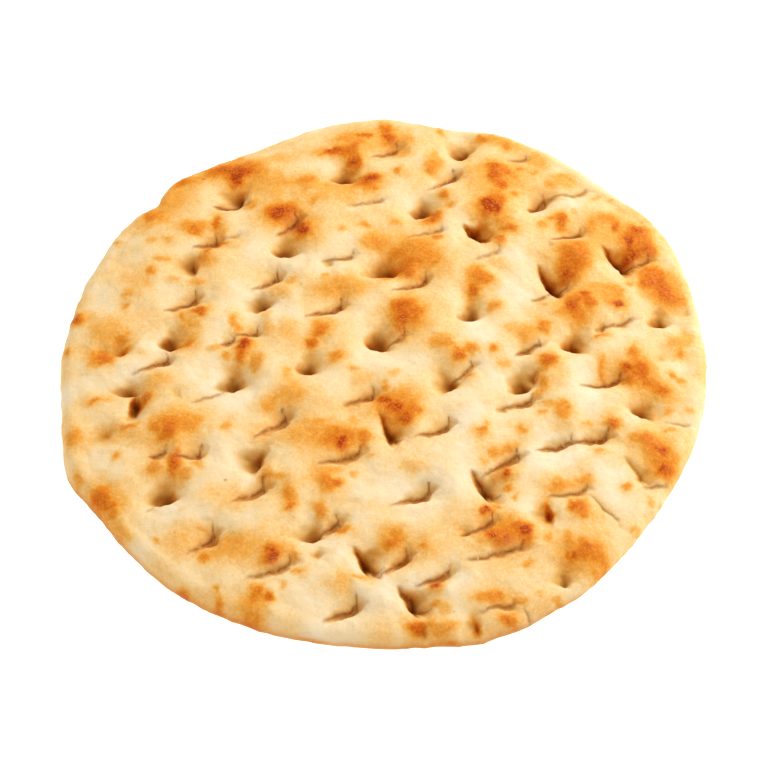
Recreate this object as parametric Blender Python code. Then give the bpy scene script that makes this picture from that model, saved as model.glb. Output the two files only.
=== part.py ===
"""Docked pita bread: one baked flatbread, browned in spots, pressed all over by a dough docker.

The bread stands alone as one solid, flat side down. Its frame has +Z up and its origin at the
middle of the flat underside. Two kinds of docker pin mark the top in turn: a blade pin leaves a
slot and a blunt pin leaves a pit. Each mark has a steep near lip and a long far slope.
"""

from typing import NamedTuple

import bmesh
import bpy
import numpy as np

MM = 0.001

# Driving dimensions, in millimetres.
RADIUS = 90.0
THICKNESS = 11.2
EDGE_THICKNESS = 9.4
EDGE_ROLL = 5.6
WIDEST_HEIGHT = 4.4
UNDER_ROLL = 4.4
EDGE_FALL = 14.0
PILLOW = 0.9

# How fine the dough is cut before it is thinned out again.
TOP_CUTS = 150
ROLL_STEPS = 5
UNDER_STEPS = 4
FLOOR_RINGS = (0.8, 0.5, 0.2)
KEPT_FACES = 0.195

CRUST_COLOUR = (0.83, 0.58, 0.30, 1.0)
CRUST_ROUGHNESS = 0.62


class Lobe(NamedTuple):
    """A swell, or a dent when negative, of the outline about one bearing."""

    bearing: float
    swell: float
    width: float


class Press(NamedTuple):
    """One docker mark: its lowest point, its turn, its four half-lengths and its depth."""

    x: float
    y: float
    turn: float
    left: float
    right: float
    far: float
    depth: float
    near: float = 1.0


OUTLINE = (
    Lobe(27, 2.6, 12),
    Lobe(58, 0.7, 14),
    Lobe(78, -1.6, 6),
    Lobe(91, 0.9, 5),
    Lobe(116, -3.0, 13),
    Lobe(147, -1.0, 16),
    Lobe(204, 2.3, 11),
    Lobe(233, 1.9, 14),
    Lobe(291, 1.7, 12),
    Lobe(331, -1.9, 17),
)

# Marks of the blade pins, in the rows that the docker rolled from left to right.
SLOTS = (
    Press(3, 73.6, 22, 6.5, 2, 6, 2.4),
    Press(42, 71.2, 15, 5, 1.3, 3.5, 1.3),
    Press(20.3, 62, 31, 7.5, 1.8, 6, 3.2),
    Press(58.5, 57, 8, 9, 2.8, 2.5, 1.2),
    Press(45.5, 52.3, 28, 3.6, 4.5, 5, 4.8, 1.5),
    Press(-45, 52, 3, 5, 3, 8, 4.2, 1.2),
    Press(-1.2, 52.3, 10, 9, 1.2, 3.5, 1.3),
    Press(-26, 43.6, 38, 6, 2.5, 5, 3.6),
    Press(16, 41.3, 18, 8.5, 1.5, 3.5, 1.4),
    Press(56, 40, 15, 7.5, 1.6, 4, 2.4),
    Press(-49.5, 37.3, 15, 5.5, 1.5, 5, 2.8),
    Press(31.5, 32, 22, 6, 3, 3, 1.1),
    Press(-10.5, 31, 8, 6.5, 2, 3.5, 1.6),
    Press(73, 29.6, 8, 5, 4, 4.5, 2.2),
    Press(-31, 23.3, 30, 7, 1.6, 6, 3.4),
    Press(11, 21.6, 20, 9, 2, 5, 2.6),
    Press(50, 20.2, 12, 3, 3, 4, 2.0),
    Press(-54, 15.8, 28, 8, 1.8, 6, 3.4),
    Press(45, 16.5, 20, 3.5, 3, 2.5, 1.6),
    Press(-13, 12.8, 17, 8.5, 1.6, 5, 3.0),
    Press(66.5, 6.9, 14, 7, 4.5, 3.5, 1.6),
    Press(-36.3, 4, 12, 4.5, 1.3, 5.5, 2.4),
    Press(-43.6, 0, 20, 1.5, 3.5, 3.5, 1.8),
    Press(39.5, -2.6, 24, 3.5, 6, 3.5, 2.4),
    Press(-60.3, -5.8, 24, 8.5, 1.5, 5, 3.0),
    Press(22, -10, 35, 3.5, 4, 3.5, 2.0),
    Press(62.8, -12.6, 8, 8.5, 2.6, 5.5, 3.0),
    Press(-43.5, -16.3, 20, 8, 2, 4, 1.3),
    Press(-3.7, -17.8, 21, 7, 1.6, 5, 3.0),
    Press(38.8, -19.6, 15, 7.5, 2, 4.5, 2.6),
    Press(-27, -26, 36, 8.5, 2, 6, 3.6),
    Press(16.2, -28.2, 22, 8, 2, 5, 3.4),
    Press(57.5, -31.3, 8, 8, 2.6, 5, 3.4),
    Press(46.5, -33.7, 10, 5.5, 5, 6, 3.2),
    Press(-49.7, -36.7, 8, 5, 1.4, 6, 2.6),
    Press(-60.6, -37, 10, 1.2, 4, 3.5, 2.0),
    Press(-8, -37.6, 12, 9, 2.5, 4, 2.4),
    Press(34, -38.2, 28, 8.5, 3.2, 4, 3.0),
    Press(71, -45.2, 0, 3, 4, 2.5, 1.2),
    Press(-32.5, -48, 25, 7.5, 2.4, 6, 3.6),
    Press(10.3, -49.2, 21, 8, 2.6, 5.5, 4.0),
    Press(51.5, -48.2, 8, 8, 2, 2.5, 1.5),
    Press(27, -58.4, 22, 7, 2, 4.5, 2.6),
    Press(-13, -58.8, 30, 4.5, 3, 5, 3.2),
    Press(-44, -61.3, 37, 7.2, 1.8, 6, 3.8),
    Press(30, -66.8, 8, 8, 7.5, 4.5, 1.8),
    Press(5.3, -68.6, 30, 7, 1.8, 6, 3.8),
    Press(-25.5, -70.8, 16, 8.5, 2.5, 5.5, 2.2),
    Press(15, -72.9, 20, 6.5, 2.6, 3.5, 2.8),
    Press(-8, -81.7, 24, 7, 2.4, 5.5, 4.0, 1.2),
    Press(31.5, -80.8, 10, 7, 2, 2, 1.4),
)

# Marks of the blunt pins, which stand across the slots.
PITS = (
    Press(24, 73.8, 50, 2.6, 7, 4.5, 4.2, 1.4),
    Press(-12, 62.8, 0, 4.5, 3.2, 8.5, 4.6, 2.0),
    Press(-42.3, 55.5, 70, 3, 7, 4.5, 3.2, 1.6),
    Press(10.8, 49.3, -8, 2.6, 4.2, 8, 4.6, 1.8),
    Press(25.8, 41, -48, 4.2, 4.2, 8, 6.0, 1.5),
    Press(-28.7, 33.8, -5, 3.4, 5.5, 6.5, 3.8, 1.7),
    Press(-54.6, 29.5, 86, 4.5, 6.5, 3.5, 3.2),
    Press(67, 30, -60, 6.5, 3.5, 7, 5.0, 1.3),
    Press(1, 26.3, 8, 7.5, 4, 8, 4.5, 1.5),
    Press(46.9, 22, -66, 7, 4, 7, 5.2, 1.5),
    Press(-34.5, 14.5, 22, 4, 4.5, 6.5, 3.8, 1.6),
    Press(24.2, 10.5, 0, 3.3, 3.3, 9, 4.0, 2.2),
    Press(77.3, 9, 0, 3.2, 4, 5.5, 3.4, 1.6),
    Press(-59.8, 1.2, -10, 2.6, 4, 8, 4.2, 2.4),
    Press(-2.3, 1, -18, 2.7, 5, 8.5, 4.6, 2.2),
    Press(52, 0, -20, 2.8, 4.8, 8.5, 4.6, 2.0),
    Press(-73, -2, 12, 6, 3.5, 7, 1.8, 1.2),
    Press(-20.7, -8.3, 0, 3.6, 3, 9, 4.0, 2.0),
    Press(41.3, -10.5, 68, 3, 4.5, 4, 2.6),
    Press(-40.7, -13, 10, 5.5, 3.5, 8, 4.3, 1.8),
    Press(18.8, -13.2, 40, 4.5, 2.6, 7, 3.6, 1.4),
    Press(38, -13.8, 12, 4.5, 3.6, 8.5, 4.5, 1.8),
    Press(-69.5, -15.3, -12, 6, 2.2, 5.5, 3.4),
    Press(-68, -19, -95, 3.5, 4.5, 2.2, 3.4),
    Press(69.5, -21.8, -24, 6, 6.5, 7.5, 3.4, 1.3),
    Press(-74.5, -29, 20, 5, 4, 5, 1.6, 4),
    Press(0.9, -29.5, -72, 6, 4, 4.5, 3.6),
    Press(-33, -37.5, 68, 5, 7, 5, 3.8, 1.3),
    Press(67, -42.3, -60, 6, 3.5, 4.5, 1.8),
    Press(25.6, -46.5, -60, 5.5, 4.5, 7.5, 3.8, 1.4),
    Press(-56.8, -49, 8, 5.5, 3.6, 8.5, 4.2, 1.7),
    Press(42.8, -54, 88, 4, 3, 2, 2.4),
    Press(-18, -61, 8, 6, 3, 7, 3.6, 1.4),
    Press(-5.6, -68, -60, 4.5, 5, 8, 4.3, 1.5),
    Press(46, -73, 5, 3, 2.6, 8, 2.6, 1.6),
    Press(6.6, -80, -56, 5, 3.6, 7, 4.0, 1.4),
    Press(23.2, -86, 90, 2.5, 2.2, 1.5, 2.0),
    Press(10, -87.5, 80, 3, 2.5, 1.5, 1.8),
)

# The dough round a mark is dragged down with it, this much further out each way and this share as deep.
DRAG_REACH = {"left": 8.0, "right": 7.0, "far": 8.0, "near": 5.0}
DRAG_SHARE = 0.36
NO_REACH = dict.fromkeys(DRAG_REACH, 0.0)

# The pushed dough swells up beyond the near lip, this far from it and this share as high.
LIP_PLACE = 4.0
LIP_REACH = {"left": 0.0, "right": 1.0, "far": -1.0, "near": 2.5}
LIP_SHARE = 0.14

# A slot is cut square at its ends and comes to a sharp crease; a pit is round with a bowl's floor.
END_SQUARENESS = 3.0
CREASE_POWER = 1.15
BOWL_POWER = 1.3
SOFT_POWER = 2.0

# Neighbouring marks join by a power mean, which keeps the deepest and rounds off where they meet.
JOIN_POWER = 4


def clear_scene():
    """Removes whatever the file opened with."""
    for old in list(bpy.data.objects):
        bpy.data.objects.remove(old)


def edge_radius(bearing):
    """Radius of the outline, in millimetres, at a bearing in radians from +X."""
    radius = np.full_like(bearing, RADIUS)
    for lobe in OUTLINE:
        apart = np.angle(np.exp(1j * (bearing - np.radians(lobe.bearing))))
        radius += lobe.swell * np.exp(-((apart / np.radians(lobe.width)) ** 2))
    return radius


def reach_share(x, y, press, widen, shift=0.0):
    """How far out in a mark each point lies: 0 at its lowest point and 1 at its brim, widened as asked."""
    turn = np.radians(press.turn)
    along = np.cos(turn) * (x - press.x) + np.sin(turn) * (y - press.y)
    across = np.cos(turn) * (y - press.y) - np.sin(turn) * (x - press.x) + shift
    along /= np.where(along > 0, press.right + widen["right"], press.left + widen["left"])
    across /= np.where(across > 0, press.far + widen["far"], press.near + widen["near"])
    return np.clip(np.sqrt(np.abs(along) ** END_SQUARENESS + across**2), 0, 1)


def joined(depths):
    """One depth from those of many marks."""
    return sum(depth**JOIN_POWER for depth in depths) ** (1 / JOIN_POWER)


def docked_depth(x, y):
    """Depth of the docker's marks below the undocked top, with the dough dragged down round them."""
    slots = joined(slot.depth * (1 - reach_share(x, y, slot, NO_REACH)) ** CREASE_POWER for slot in SLOTS)
    pits = joined(pit.depth * (1 - reach_share(x, y, pit, NO_REACH) ** 2) ** BOWL_POWER for pit in PITS)
    marks = SLOTS + PITS
    drag = joined(mark.depth * (1 - reach_share(x, y, mark, DRAG_REACH) ** 2) ** SOFT_POWER for mark in marks)
    lip = joined(
        mark.depth * (1 - reach_share(x, y, mark, LIP_REACH, LIP_PLACE) ** 2) ** SOFT_POWER for mark in marks
    )
    return joined((slots, pits)) + DRAG_SHARE * drag - LIP_SHARE * lip


def top_height(x, y):
    """Height of the top, in millimetres: domed a little, lower at the edge, pillowed and docked."""
    inset = edge_radius(np.arctan2(y, x)) - np.hypot(x, y)
    dome = 1 - np.exp(-np.clip(inset - EDGE_ROLL, 0, None) / EDGE_FALL)
    swell = np.sin(x / 9.1 + 0.6) * np.sin(y / 8.3 - 0.4) + np.sin((x + y) / 13.7) * np.sin((x - y) / 11.3)
    height = EDGE_THICKNESS + (THICKNESS - EDGE_THICKNESS) * dome + 0.5 * PILLOW * dome * swell
    return height - docked_depth(x, y)


def disc_place(u, v):
    """Maps a square grid of -1 to 1 onto a round one of radius 1, evenly, by squeezing its corners."""
    return u * np.sqrt(1 - v * v / 2), v * np.sqrt(1 - u * u / 2)


def lay_top(bm):
    """Cuts the dough's top as an even grid, up to where the edge starts to roll over."""
    bmesh.ops.create_grid(bm, x_segments=TOP_CUTS, y_segments=TOP_CUTS, size=1.0)
    square = np.array([vert.co[:2] for vert in bm.verts])
    x, y = disc_place(square[:, 0], square[:, 1])
    reach = edge_radius(np.arctan2(y, x)) - EDGE_ROLL
    x, y = x * reach, y * reach
    for vert, place in zip(bm.verts, np.stack([x, y, top_height(x, y)], axis=1) * MM):
        vert.co = place


def next_ring(bm, ring):
    """Draws a new ring of points out of the last one and gives its points, in the same order."""
    made = bmesh.ops.extrude_edge_only(bm, edges=ring)
    return [edge for edge in made["geom"] if isinstance(edge, bmesh.types.BMEdge) and edge.is_boundary]


def place_ring(ring, inset, height):
    """Moves a ring of points to one inset from the outline, at one height for each point."""
    verts = list({vert for edge in ring for vert in edge.verts})
    bearing = np.array([np.arctan2(vert.co.y, vert.co.x) for vert in verts])
    reach = edge_radius(bearing) - inset
    for vert, angle, far, high in zip(verts, bearing, reach, height(verts, bearing, far=reach)):
        vert.co = np.array([far * np.cos(angle), far * np.sin(angle), high]) * MM


def roll_edge(bm):
    """Rolls the dough's edge over and under, and closes the flat underside."""
    ring = [edge for edge in bm.edges if edge.is_boundary]
    for step in range(1, ROLL_STEPS + 1):
        turn = np.pi / 2 * step / ROLL_STEPS
        ring = next_ring(bm, ring)

        def shoulder(verts, bearing, far):
            lip = top_height(np.cos(bearing) * far, np.sin(bearing) * far)
            return WIDEST_HEIGHT + (lip - WIDEST_HEIGHT) * np.cos(turn)

        place_ring(ring, EDGE_ROLL * (1 - np.sin(turn)), shoulder)
    for step in range(1, UNDER_STEPS + 1):
        turn = np.pi / 2 * step / UNDER_STEPS
        ring = next_ring(bm, ring)
        low = WIDEST_HEIGHT * (1 - np.sin(turn))
        place_ring(ring, UNDER_ROLL * (1 - np.cos(turn)), lambda verts, bearing, far: np.full_like(far, low))
    for share in FLOOR_RINGS:
        ring = next_ring(bm, ring)
        for vert in {vert for edge in ring for vert in edge.verts}:
            reach = np.hypot(vert.co.x, vert.co.y)
            vert.co *= share * RADIUS * MM / reach
            vert.co.z = 0.0
    bmesh.ops.edgeloop_fill(bm, edges=ring)


def centre_on_origin(bm):
    """Slides the bread so that the middle of its box stands over the origin."""
    places = np.array([vert.co[:2] for vert in bm.verts])
    middle = (places.min(axis=0) + places.max(axis=0)) / 2
    bmesh.ops.translate(bm, verts=bm.verts, vec=(-middle[0], -middle[1], 0.0))


def crust_material():
    """Pale golden baked crust."""
    crust = bpy.data.materials.new("crust")
    crust.use_nodes = True
    shader = crust.node_tree.nodes["Principled BSDF"]
    shader.inputs["Base Color"].default_value = CRUST_COLOUR
    shader.inputs["Roughness"].default_value = CRUST_ROUGHNESS
    shader.inputs["Metallic"].default_value = 0.0
    crust.diffuse_color = CRUST_COLOUR
    return crust


def bake_bread():
    """Builds the one solid of the bread."""
    bm = bmesh.new()
    lay_top(bm)
    roll_edge(bm)
    centre_on_origin(bm)
    bmesh.ops.recalc_face_normals(bm, faces=bm.faces)
    mesh = bpy.data.meshes.new("bread")
    bm.to_mesh(mesh)
    bm.free()
    mesh.materials.append(crust_material())
    mesh.shade_smooth()
    bread = bpy.data.objects.new("bread", mesh)
    bpy.context.scene.collection.objects.link(bread)
    thin = bread.modifiers.new("thin", "DECIMATE")
    thin.ratio = KEPT_FACES
    thin.use_collapse_triangulate = True
    return bread


clear_scene()
bake_bread()
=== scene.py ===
"""Docked pita bread: the finished look of one thick round bread, pressed all over and browned in spots.

The bread is shaped as a baker would shape it. A disc of dough is rounded at its rim, its outline is
pushed in and out by hand, a docker presses slots and pits into it, and the oven raises blisters and
browns them. Places on the bread are in millimetres from its middle, +X to the right and +Y away.
"""

import logging
from dataclasses import dataclass, field, replace
from enum import Enum
from typing import Callable, Iterable

import bpy
import numpy as np
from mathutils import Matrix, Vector


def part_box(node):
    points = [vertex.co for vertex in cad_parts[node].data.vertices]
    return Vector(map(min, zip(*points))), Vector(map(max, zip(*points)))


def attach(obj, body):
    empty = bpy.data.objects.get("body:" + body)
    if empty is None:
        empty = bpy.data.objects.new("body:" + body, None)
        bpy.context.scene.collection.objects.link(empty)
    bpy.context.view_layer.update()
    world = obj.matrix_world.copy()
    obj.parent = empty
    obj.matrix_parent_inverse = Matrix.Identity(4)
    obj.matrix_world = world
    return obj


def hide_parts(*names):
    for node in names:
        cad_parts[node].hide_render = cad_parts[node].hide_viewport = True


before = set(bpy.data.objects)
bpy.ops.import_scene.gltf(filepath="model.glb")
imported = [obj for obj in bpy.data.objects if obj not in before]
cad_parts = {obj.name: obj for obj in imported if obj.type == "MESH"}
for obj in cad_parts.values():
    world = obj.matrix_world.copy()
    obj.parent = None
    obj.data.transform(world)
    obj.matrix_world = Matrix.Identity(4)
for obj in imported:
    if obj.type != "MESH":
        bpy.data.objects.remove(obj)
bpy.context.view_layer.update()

MM = 0.001
# A length too short to matter, in millimetres.
SPECK = 0.01
log = logging.getLogger("pita")


class Pin(Enum):
    """The docker's two kinds of pin, named by the mark that each leaves."""

    BLADE = "slot"
    BLUNT = "pit"


@dataclass(frozen=True)
class Mark:
    """One docker mark, in millimetres.

    Args:
        x: Place of its lowest point, to the right.
        y: Place of its lowest point, away from the viewer.
        turn: Bearing of its long way, in degrees.
        left: Length from its lowest point to its left end.
        right: Length from its lowest point to its right end.
        far: Width from its lowest point to its far brim.
        depth: Depth of its lowest point below the dough round it.
        near: Width from its lowest point to its near lip.
        pin: The kind of pin that left it.
    """

    x: float
    y: float
    turn: float
    left: float
    right: float
    far: float
    depth: float
    near: float = 1.0
    pin: Pin = Pin.BLADE


@dataclass(frozen=True)
class Toast:
    """One browned spot, in millimetres.

    Args:
        x: Place of its middle, to the right.
        y: Place of its middle, away from the viewer.
        long: Its size along its long way.
        wide: Its size across that.
        strength: From 0 for pale to 1 for the darkest brown.
        turn: Bearing of its long way, in degrees.
    """

    x: float
    y: float
    long: float
    wide: float
    strength: float
    turn: float = 0.0


@dataclass(frozen=True)
class Lobe:
    """A swell of the outline.

    Args:
        bearing: Its bearing from the middle of the bread, in degrees.
        swell: How far it stands out, in millimetres. A dent has a minus sign.
        width: How wide it is, in degrees.
    """

    bearing: float
    swell: float
    width: float


OUTLINE = (
    Lobe(27, 2.6, 12), Lobe(58, 0.7, 14), Lobe(78, -1.6, 6), Lobe(91, 0.9, 5), Lobe(116, -3.0, 13),
    Lobe(147, -1.0, 16), Lobe(204, 2.3, 11), Lobe(233, 1.9, 14), Lobe(291, 1.7, 12), Lobe(331, -1.9, 17),
    # The smaller ones.
    Lobe(32, 0.7, 6), Lobe(62, 0.5, 14), Lobe(108, 0.5, 10), Lobe(135, 1.2, 3.5), Lobe(141.5, -1.5, 2.5),
    Lobe(151, 1.3, 6), Lobe(163, 0.6, 5), Lobe(182, 0.7, 6), Lobe(206, 1.6, 7), Lobe(221, 0.7, 5),
    Lobe(250, 0.6, 6), Lobe(284, 0.6, 4), Lobe(297, -0.7, 5), Lobe(314, -0.8, 6), Lobe(325, -0.5, 6),
)

# Each row is one Mark without its pin: x, y, turn, left, right, far, depth and, where it isn't 1, near.
BLADE_ROWS = (
    (3, 73.6, 22, 6.5, 2, 6, 2.4), (42, 71.2, 15, 5, 1.3, 3.5, 1.3), (20.3, 62, 31, 7.5, 1.8, 6, 3.2),
    (58.5, 57, 8, 9, 2.8, 2.5, 1.2), (45.5, 52.3, 28, 3.6, 4.5, 5, 4.8, 1.5),
    (-45, 52, 3, 5, 3, 8, 4.2, 1.2), (-1.2, 52.3, 10, 9, 1.2, 3.5, 1.3), (-26, 43.6, 38, 6, 2.5, 5, 3.6),
    (16, 41.3, 18, 8.5, 1.5, 3.5, 1.4), (56, 40, 15, 7.5, 1.6, 4, 2.4), (-49.5, 37.3, 15, 5.5, 1.5, 5, 2.8),
    (31.5, 32, 22, 6, 3, 3, 1.1), (-10.5, 31, 8, 6.5, 2, 3.5, 1.6), (73, 29.6, 8, 5, 4, 4.5, 2.2),
    (-31, 23.3, 30, 7, 1.6, 6, 3.4), (11, 21.6, 20, 9, 2, 5, 2.6), (50, 20.2, 12, 3, 3, 4, 2.0),
    (-54, 15.8, 28, 8, 1.8, 6, 3.4), (45, 16.5, 20, 3.5, 3, 2.5, 1.6), (-13, 12.8, 17, 8.5, 1.6, 5, 3.0),
    (66.5, 6.9, 14, 7, 4.5, 3.5, 1.6), (-36.3, 4, 12, 4.5, 1.3, 5.5, 2.4),
    (-43.6, 0, 20, 1.5, 3.5, 3.5, 1.8), (39.5, -2.6, 24, 3.5, 6, 3.5, 2.4),
    (-60.3, -5.8, 24, 8.5, 1.5, 5, 3.0), (22, -10, 35, 3.5, 4, 3.5, 2.0),
    (62.8, -12.6, 8, 8.5, 2.6, 5.5, 3.0), (-43.5, -16.3, 20, 8, 2, 4, 1.3),
    (-3.7, -17.8, 21, 7, 1.6, 5, 3.0), (38.8, -19.6, 15, 7.5, 2, 4.5, 2.6), (-27, -26, 36, 8.5, 2, 6, 3.6),
    (16.2, -28.2, 22, 8, 2, 5, 3.4), (57.5, -31.3, 8, 8, 2.6, 5, 3.4), (46.5, -33.7, 10, 5.5, 5, 6, 3.2),
    (-49.7, -36.7, 8, 5, 1.4, 6, 2.6), (-60.6, -37, 10, 1.2, 4, 3.5, 2.0), (-8, -37.6, 12, 9, 2.5, 4, 2.4),
    (34, -38.2, 28, 8.5, 3.2, 4, 3.0), (71, -45.2, 0, 3, 4, 2.5, 1.2), (-32.5, -48, 25, 7.5, 2.4, 6, 3.6),
    (10.3, -49.2, 21, 8, 2.6, 5.5, 4.0), (51.5, -48.2, 8, 8, 2, 2.5, 1.5), (27, -58.4, 22, 7, 2, 4.5, 2.6),
    (-13, -58.8, 30, 4.5, 3, 5, 3.2), (-44, -61.3, 37, 7.2, 1.8, 6, 3.8), (30, -66.8, 8, 8, 7.5, 4.5, 1.8),
    (5.3, -68.6, 30, 7, 1.8, 6, 3.8), (-25.5, -70.8, 16, 8.5, 2.5, 5.5, 2.2),
    (15, -72.9, 20, 6.5, 2.6, 3.5, 2.8), (-8, -81.7, 24, 7, 2.4, 5.5, 4.0, 1.2),
    (31.5, -80.8, 10, 7, 2, 2, 1.4), (-43, 39.5, 15, 4, 1.5, 2.5, 0.9, 0.8),
    (-60.5, -52.5, 20, 1.5, 1.2, 1.5, 0.9, 0.7), (80, -25.6, -15, 4, 3, 1.5, 0.8, 0.7),
    (56.3, -52.5, -58, 4.5, 6, 2.5, 1, 0.8), (36, -83.5, -60, 2.5, 3, 2, 1, 0.8),
    (3.5, 1.6, 18, 5, 3, 4, 1.8), (48.2, 36, 75, 1.5, 1.2, 1, 0.8),
)
BLUNT_ROWS = (
    (24, 73.8, 50, 2.6, 7, 4.5, 4.2, 1.4), (-12, 62.8, 0, 4.5, 3.2, 8.5, 4.6, 2.0),
    (-42.3, 55.5, 70, 3, 7, 4.5, 3.2, 1.6), (10.8, 49.3, -8, 2.6, 4.2, 8, 4.6, 1.8),
    (25.8, 41, -48, 4.2, 4.2, 8, 6.0, 1.5), (-28.7, 33.8, -5, 3.4, 5.5, 6.5, 3.8, 1.7),
    (-54.6, 29.5, 86, 4.5, 6.5, 3.5, 3.2), (67, 30, -60, 6.5, 3.5, 7, 5.0, 1.3),
    (1, 26.3, 8, 7.5, 4, 8, 4.5, 1.5), (46.9, 22, -66, 7, 4, 7, 5.2, 1.5),
    (-34.5, 14.5, 22, 4, 4.5, 6.5, 3.8, 1.6), (24.2, 10.5, 0, 3.3, 3.3, 9, 4.0, 2.2),
    (77.3, 9, 0, 3.2, 4, 5.5, 3.4, 1.6), (-59.8, 1.2, -10, 2.6, 4, 8, 4.2, 2.4),
    (-2.3, 1, -18, 2.7, 5, 8.5, 4.6, 2.2), (52, 0, -20, 2.8, 4.8, 8.5, 4.6, 2.0),
    (-73, -2, 12, 6, 3.5, 7, 1.8, 1.2), (-20.7, -8.3, 0, 3.6, 3, 9, 4.0, 2.0),
    (41.3, -10.5, 68, 3, 4.5, 4, 2.6), (-40.7, -13, 10, 5.5, 3.5, 8, 4.3, 1.8),
    (18.8, -13.2, 40, 4.5, 2.6, 7, 3.6, 1.4), (38, -13.8, 12, 4.5, 3.6, 8.5, 4.5, 1.8),
    (-69.5, -15.3, -12, 6, 2.2, 5.5, 3.4), (-68, -19, -95, 3.5, 4.5, 2.2, 3.4),
    (69.5, -21.8, -24, 6, 6.5, 7.5, 3.4, 1.3), (-74.5, -29, 20, 5, 4, 5, 1.6, 4),
    (0.9, -29.5, -72, 6, 4, 4.5, 3.6), (-33, -37.5, 68, 5, 7, 5, 3.8, 1.3),
    (67, -42.3, -60, 6, 3.5, 4.5, 1.8), (25.6, -46.5, -60, 5.5, 4.5, 7.5, 3.8, 1.4),
    (-56.8, -49, 8, 5.5, 3.6, 8.5, 4.2, 1.7), (42.8, -54, 88, 4, 3, 2, 2.4),
    (-18, -61, 8, 6, 3, 7, 3.6, 1.4), (-5.6, -68, -60, 4.5, 5, 8, 4.3, 1.5),
    (46, -73, 5, 3, 2.6, 8, 2.6, 1.6), (6.6, -80, -56, 5, 3.6, 7, 4.0, 1.4),
    (23.2, -86, 90, 2.5, 2.2, 1.5, 2.0), (10, -87.5, 80, 3, 2.5, 1.5, 1.8),
    (-78, -1.2, 10, 1.6, 1.2, 3, 1.2, 0.8), (-56, -16.5, 75, 1.2, 1.2, 1, 0.7),
    (-17.2, -66.8, 10, 1.2, 1.5, 1.8, 1.4, 0.9), (-9, 50.8, 20, 1, 1.2, 1.5, 0.8),
    (-15.6, 29.3, 30, 1.2, 1.5, 2, 1.2), (75, 46.3, 5, 2, 2, 1.2, 0.6), (60.7, 5.2, 20, 1.2, 3, 2.5, 1.6),
    (85.3, 12.4, 10, 1.3, 1.8, 1.5, 0.8), (32, -21.8, 20, 1, 1.5, 1.8, 1.2), (76, -4.8, 5, 3, 2, 1.5, 0.6),
    (20.8, -60.5, 15, 1, 2.5, 2, 1.6),
)

# Each row is one Toast: x, y, long, wide, strength and, where it isn't 0, turn.
# They are grouped by where they lie. The broad ones are the crust's faint golden patches.
TOAST_FAR_LEFT = (
    (-44, 65.5, 6, 3, 0.85, -10), (-43.5, 62.5, 2.5, 3.5, 0.95), (-49, 65.5, 4, 2, 0.75),
    (-55, 63, 6, 1.8, 0.5, 10), (-60.5, 61.5, 3, 1.5, 0.65, 30), (-38, 66, 4, 4, 0.5), (-40, 68, 3, 2, 0.6),
    (-44, 70.5, 2.5, 1.2, 0.45, 20), (-68.5, 47.5, 2, 2.2, 0.7), (-66, 47, 4, 3, 0.45),
    (-64, 54, 4, 6, 0.4, -30), (-55, 43.5, 5, 2.5, 0.6, -5), (-49, 44.5, 1.2, 3, 0.75),
    (-55, 41.5, 2.5, 1.5, 0.65), (-47.5, 42, 2, 4, 0.45), (-51, 35, 1.5, 2, 0.7),
    (-48, 36.5, 3, 1.2, 0.65, 15), (-51.5, 32, 2, 3, 0.55), (-50, 30, 3, 3, 0.4), (-30.5, 48, 4, 3, 0.8),
    (-39, 52, 2, 1.5, 0.5), (-35, 57, 6, 5, 0.4), (-62.5, 38.5, 1.5, 1, 0.4), (-67, 37.5, 1.2, 1.2, 0.35),
    (-64, 31, 2, 1, 0.4), (-77, 38, 1.5, 0.6, 0.45, -10), (-33, 71, 5, 2, 0.35),
)
TOAST_FAR = (
    (-14, 73, 5, 1.8, 0.8), (-15.5, 73.5, 2.5, 1.5, 0.8), (-9, 75.5, 3, 2, 0.7, 30), (-9, 70, 2, 3, 0.75),
    (-8, 68.5, 1.5, 2.5, 0.75), (-6, 80, 2.5, 1.2, 0.75), (-12, 79, 4, 2, 0.5, 20), (0, 83.5, 2, 2, 0.75),
    (1.5, 79.5, 2.2, 2.5, 0.85), (3.3, 76, 1.2, 2, 0.6), (6.5, 78, 2.5, 3, 0.4), (5, 73, 3, 2, 0.4),
    (17.5, 82.5, 1, 1.5, 0.5), (-4, 62, 3.5, 2, 0.85), (-4, 62, 1.6, 1, 1.0), (-6, 60, 2.5, 1.5, 0.8),
    (-4, 58, 3, 1.5, 0.6), (-10, 58, 4, 2, 0.35), (4, 64.8, 1.5, 1.2, 0.65), (-23, 61, 3, 2.5, 0.6),
    (-22, 57.5, 2, 1, 0.5, 30), (-29, 60, 3, 2, 0.45), (-28, 48, 4, 4, 0.75), (-30.5, 47.5, 2.5, 2, 0.8),
    (-21, 52.5, 1.5, 1.5, 0.55), (-24, 41.5, 3, 2.8, 0.95, -40), (-23.5, 40, 1.5, 1.5, 1.0),
    (15, 67, 2.5, 4, 0.5), (14, 65.5, 1.5, 1.5, 0.55), (15.5, 72, 1.2, 1.5, 0.45),
    (17.5, 55, 1.7, 1.5, 0.75), (19.5, 51.5, 1.5, 1.2, 0.5), (14.5, 47, 3, 1.8, 0.8, 40),
    (13, 45.5, 2, 1.2, 0.65, 20), (15, 38.3, 1.6, 1.4, 0.7), (3, 44.3, 1.7, 1.2, 0.45),
    (-5.7, 43, 1.3, 1.2, 0.5), (-12.3, 41, 1.5, 1, 0.45), (-3, 36.5, 4.5, 3, 0.5), (9, 33, 7, 6, 0.5),
    (7, 27, 2.5, 4, 0.7, 20), (11, 30, 4, 4, 0.55), (15, 29, 1.5, 1, 0.6), (7.5, 24.5, 2, 1.5, 0.7),
    (4.5, 33, 3, 2, 0.55), (31, 49.5, 3, 3, 0.9),
)
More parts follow.
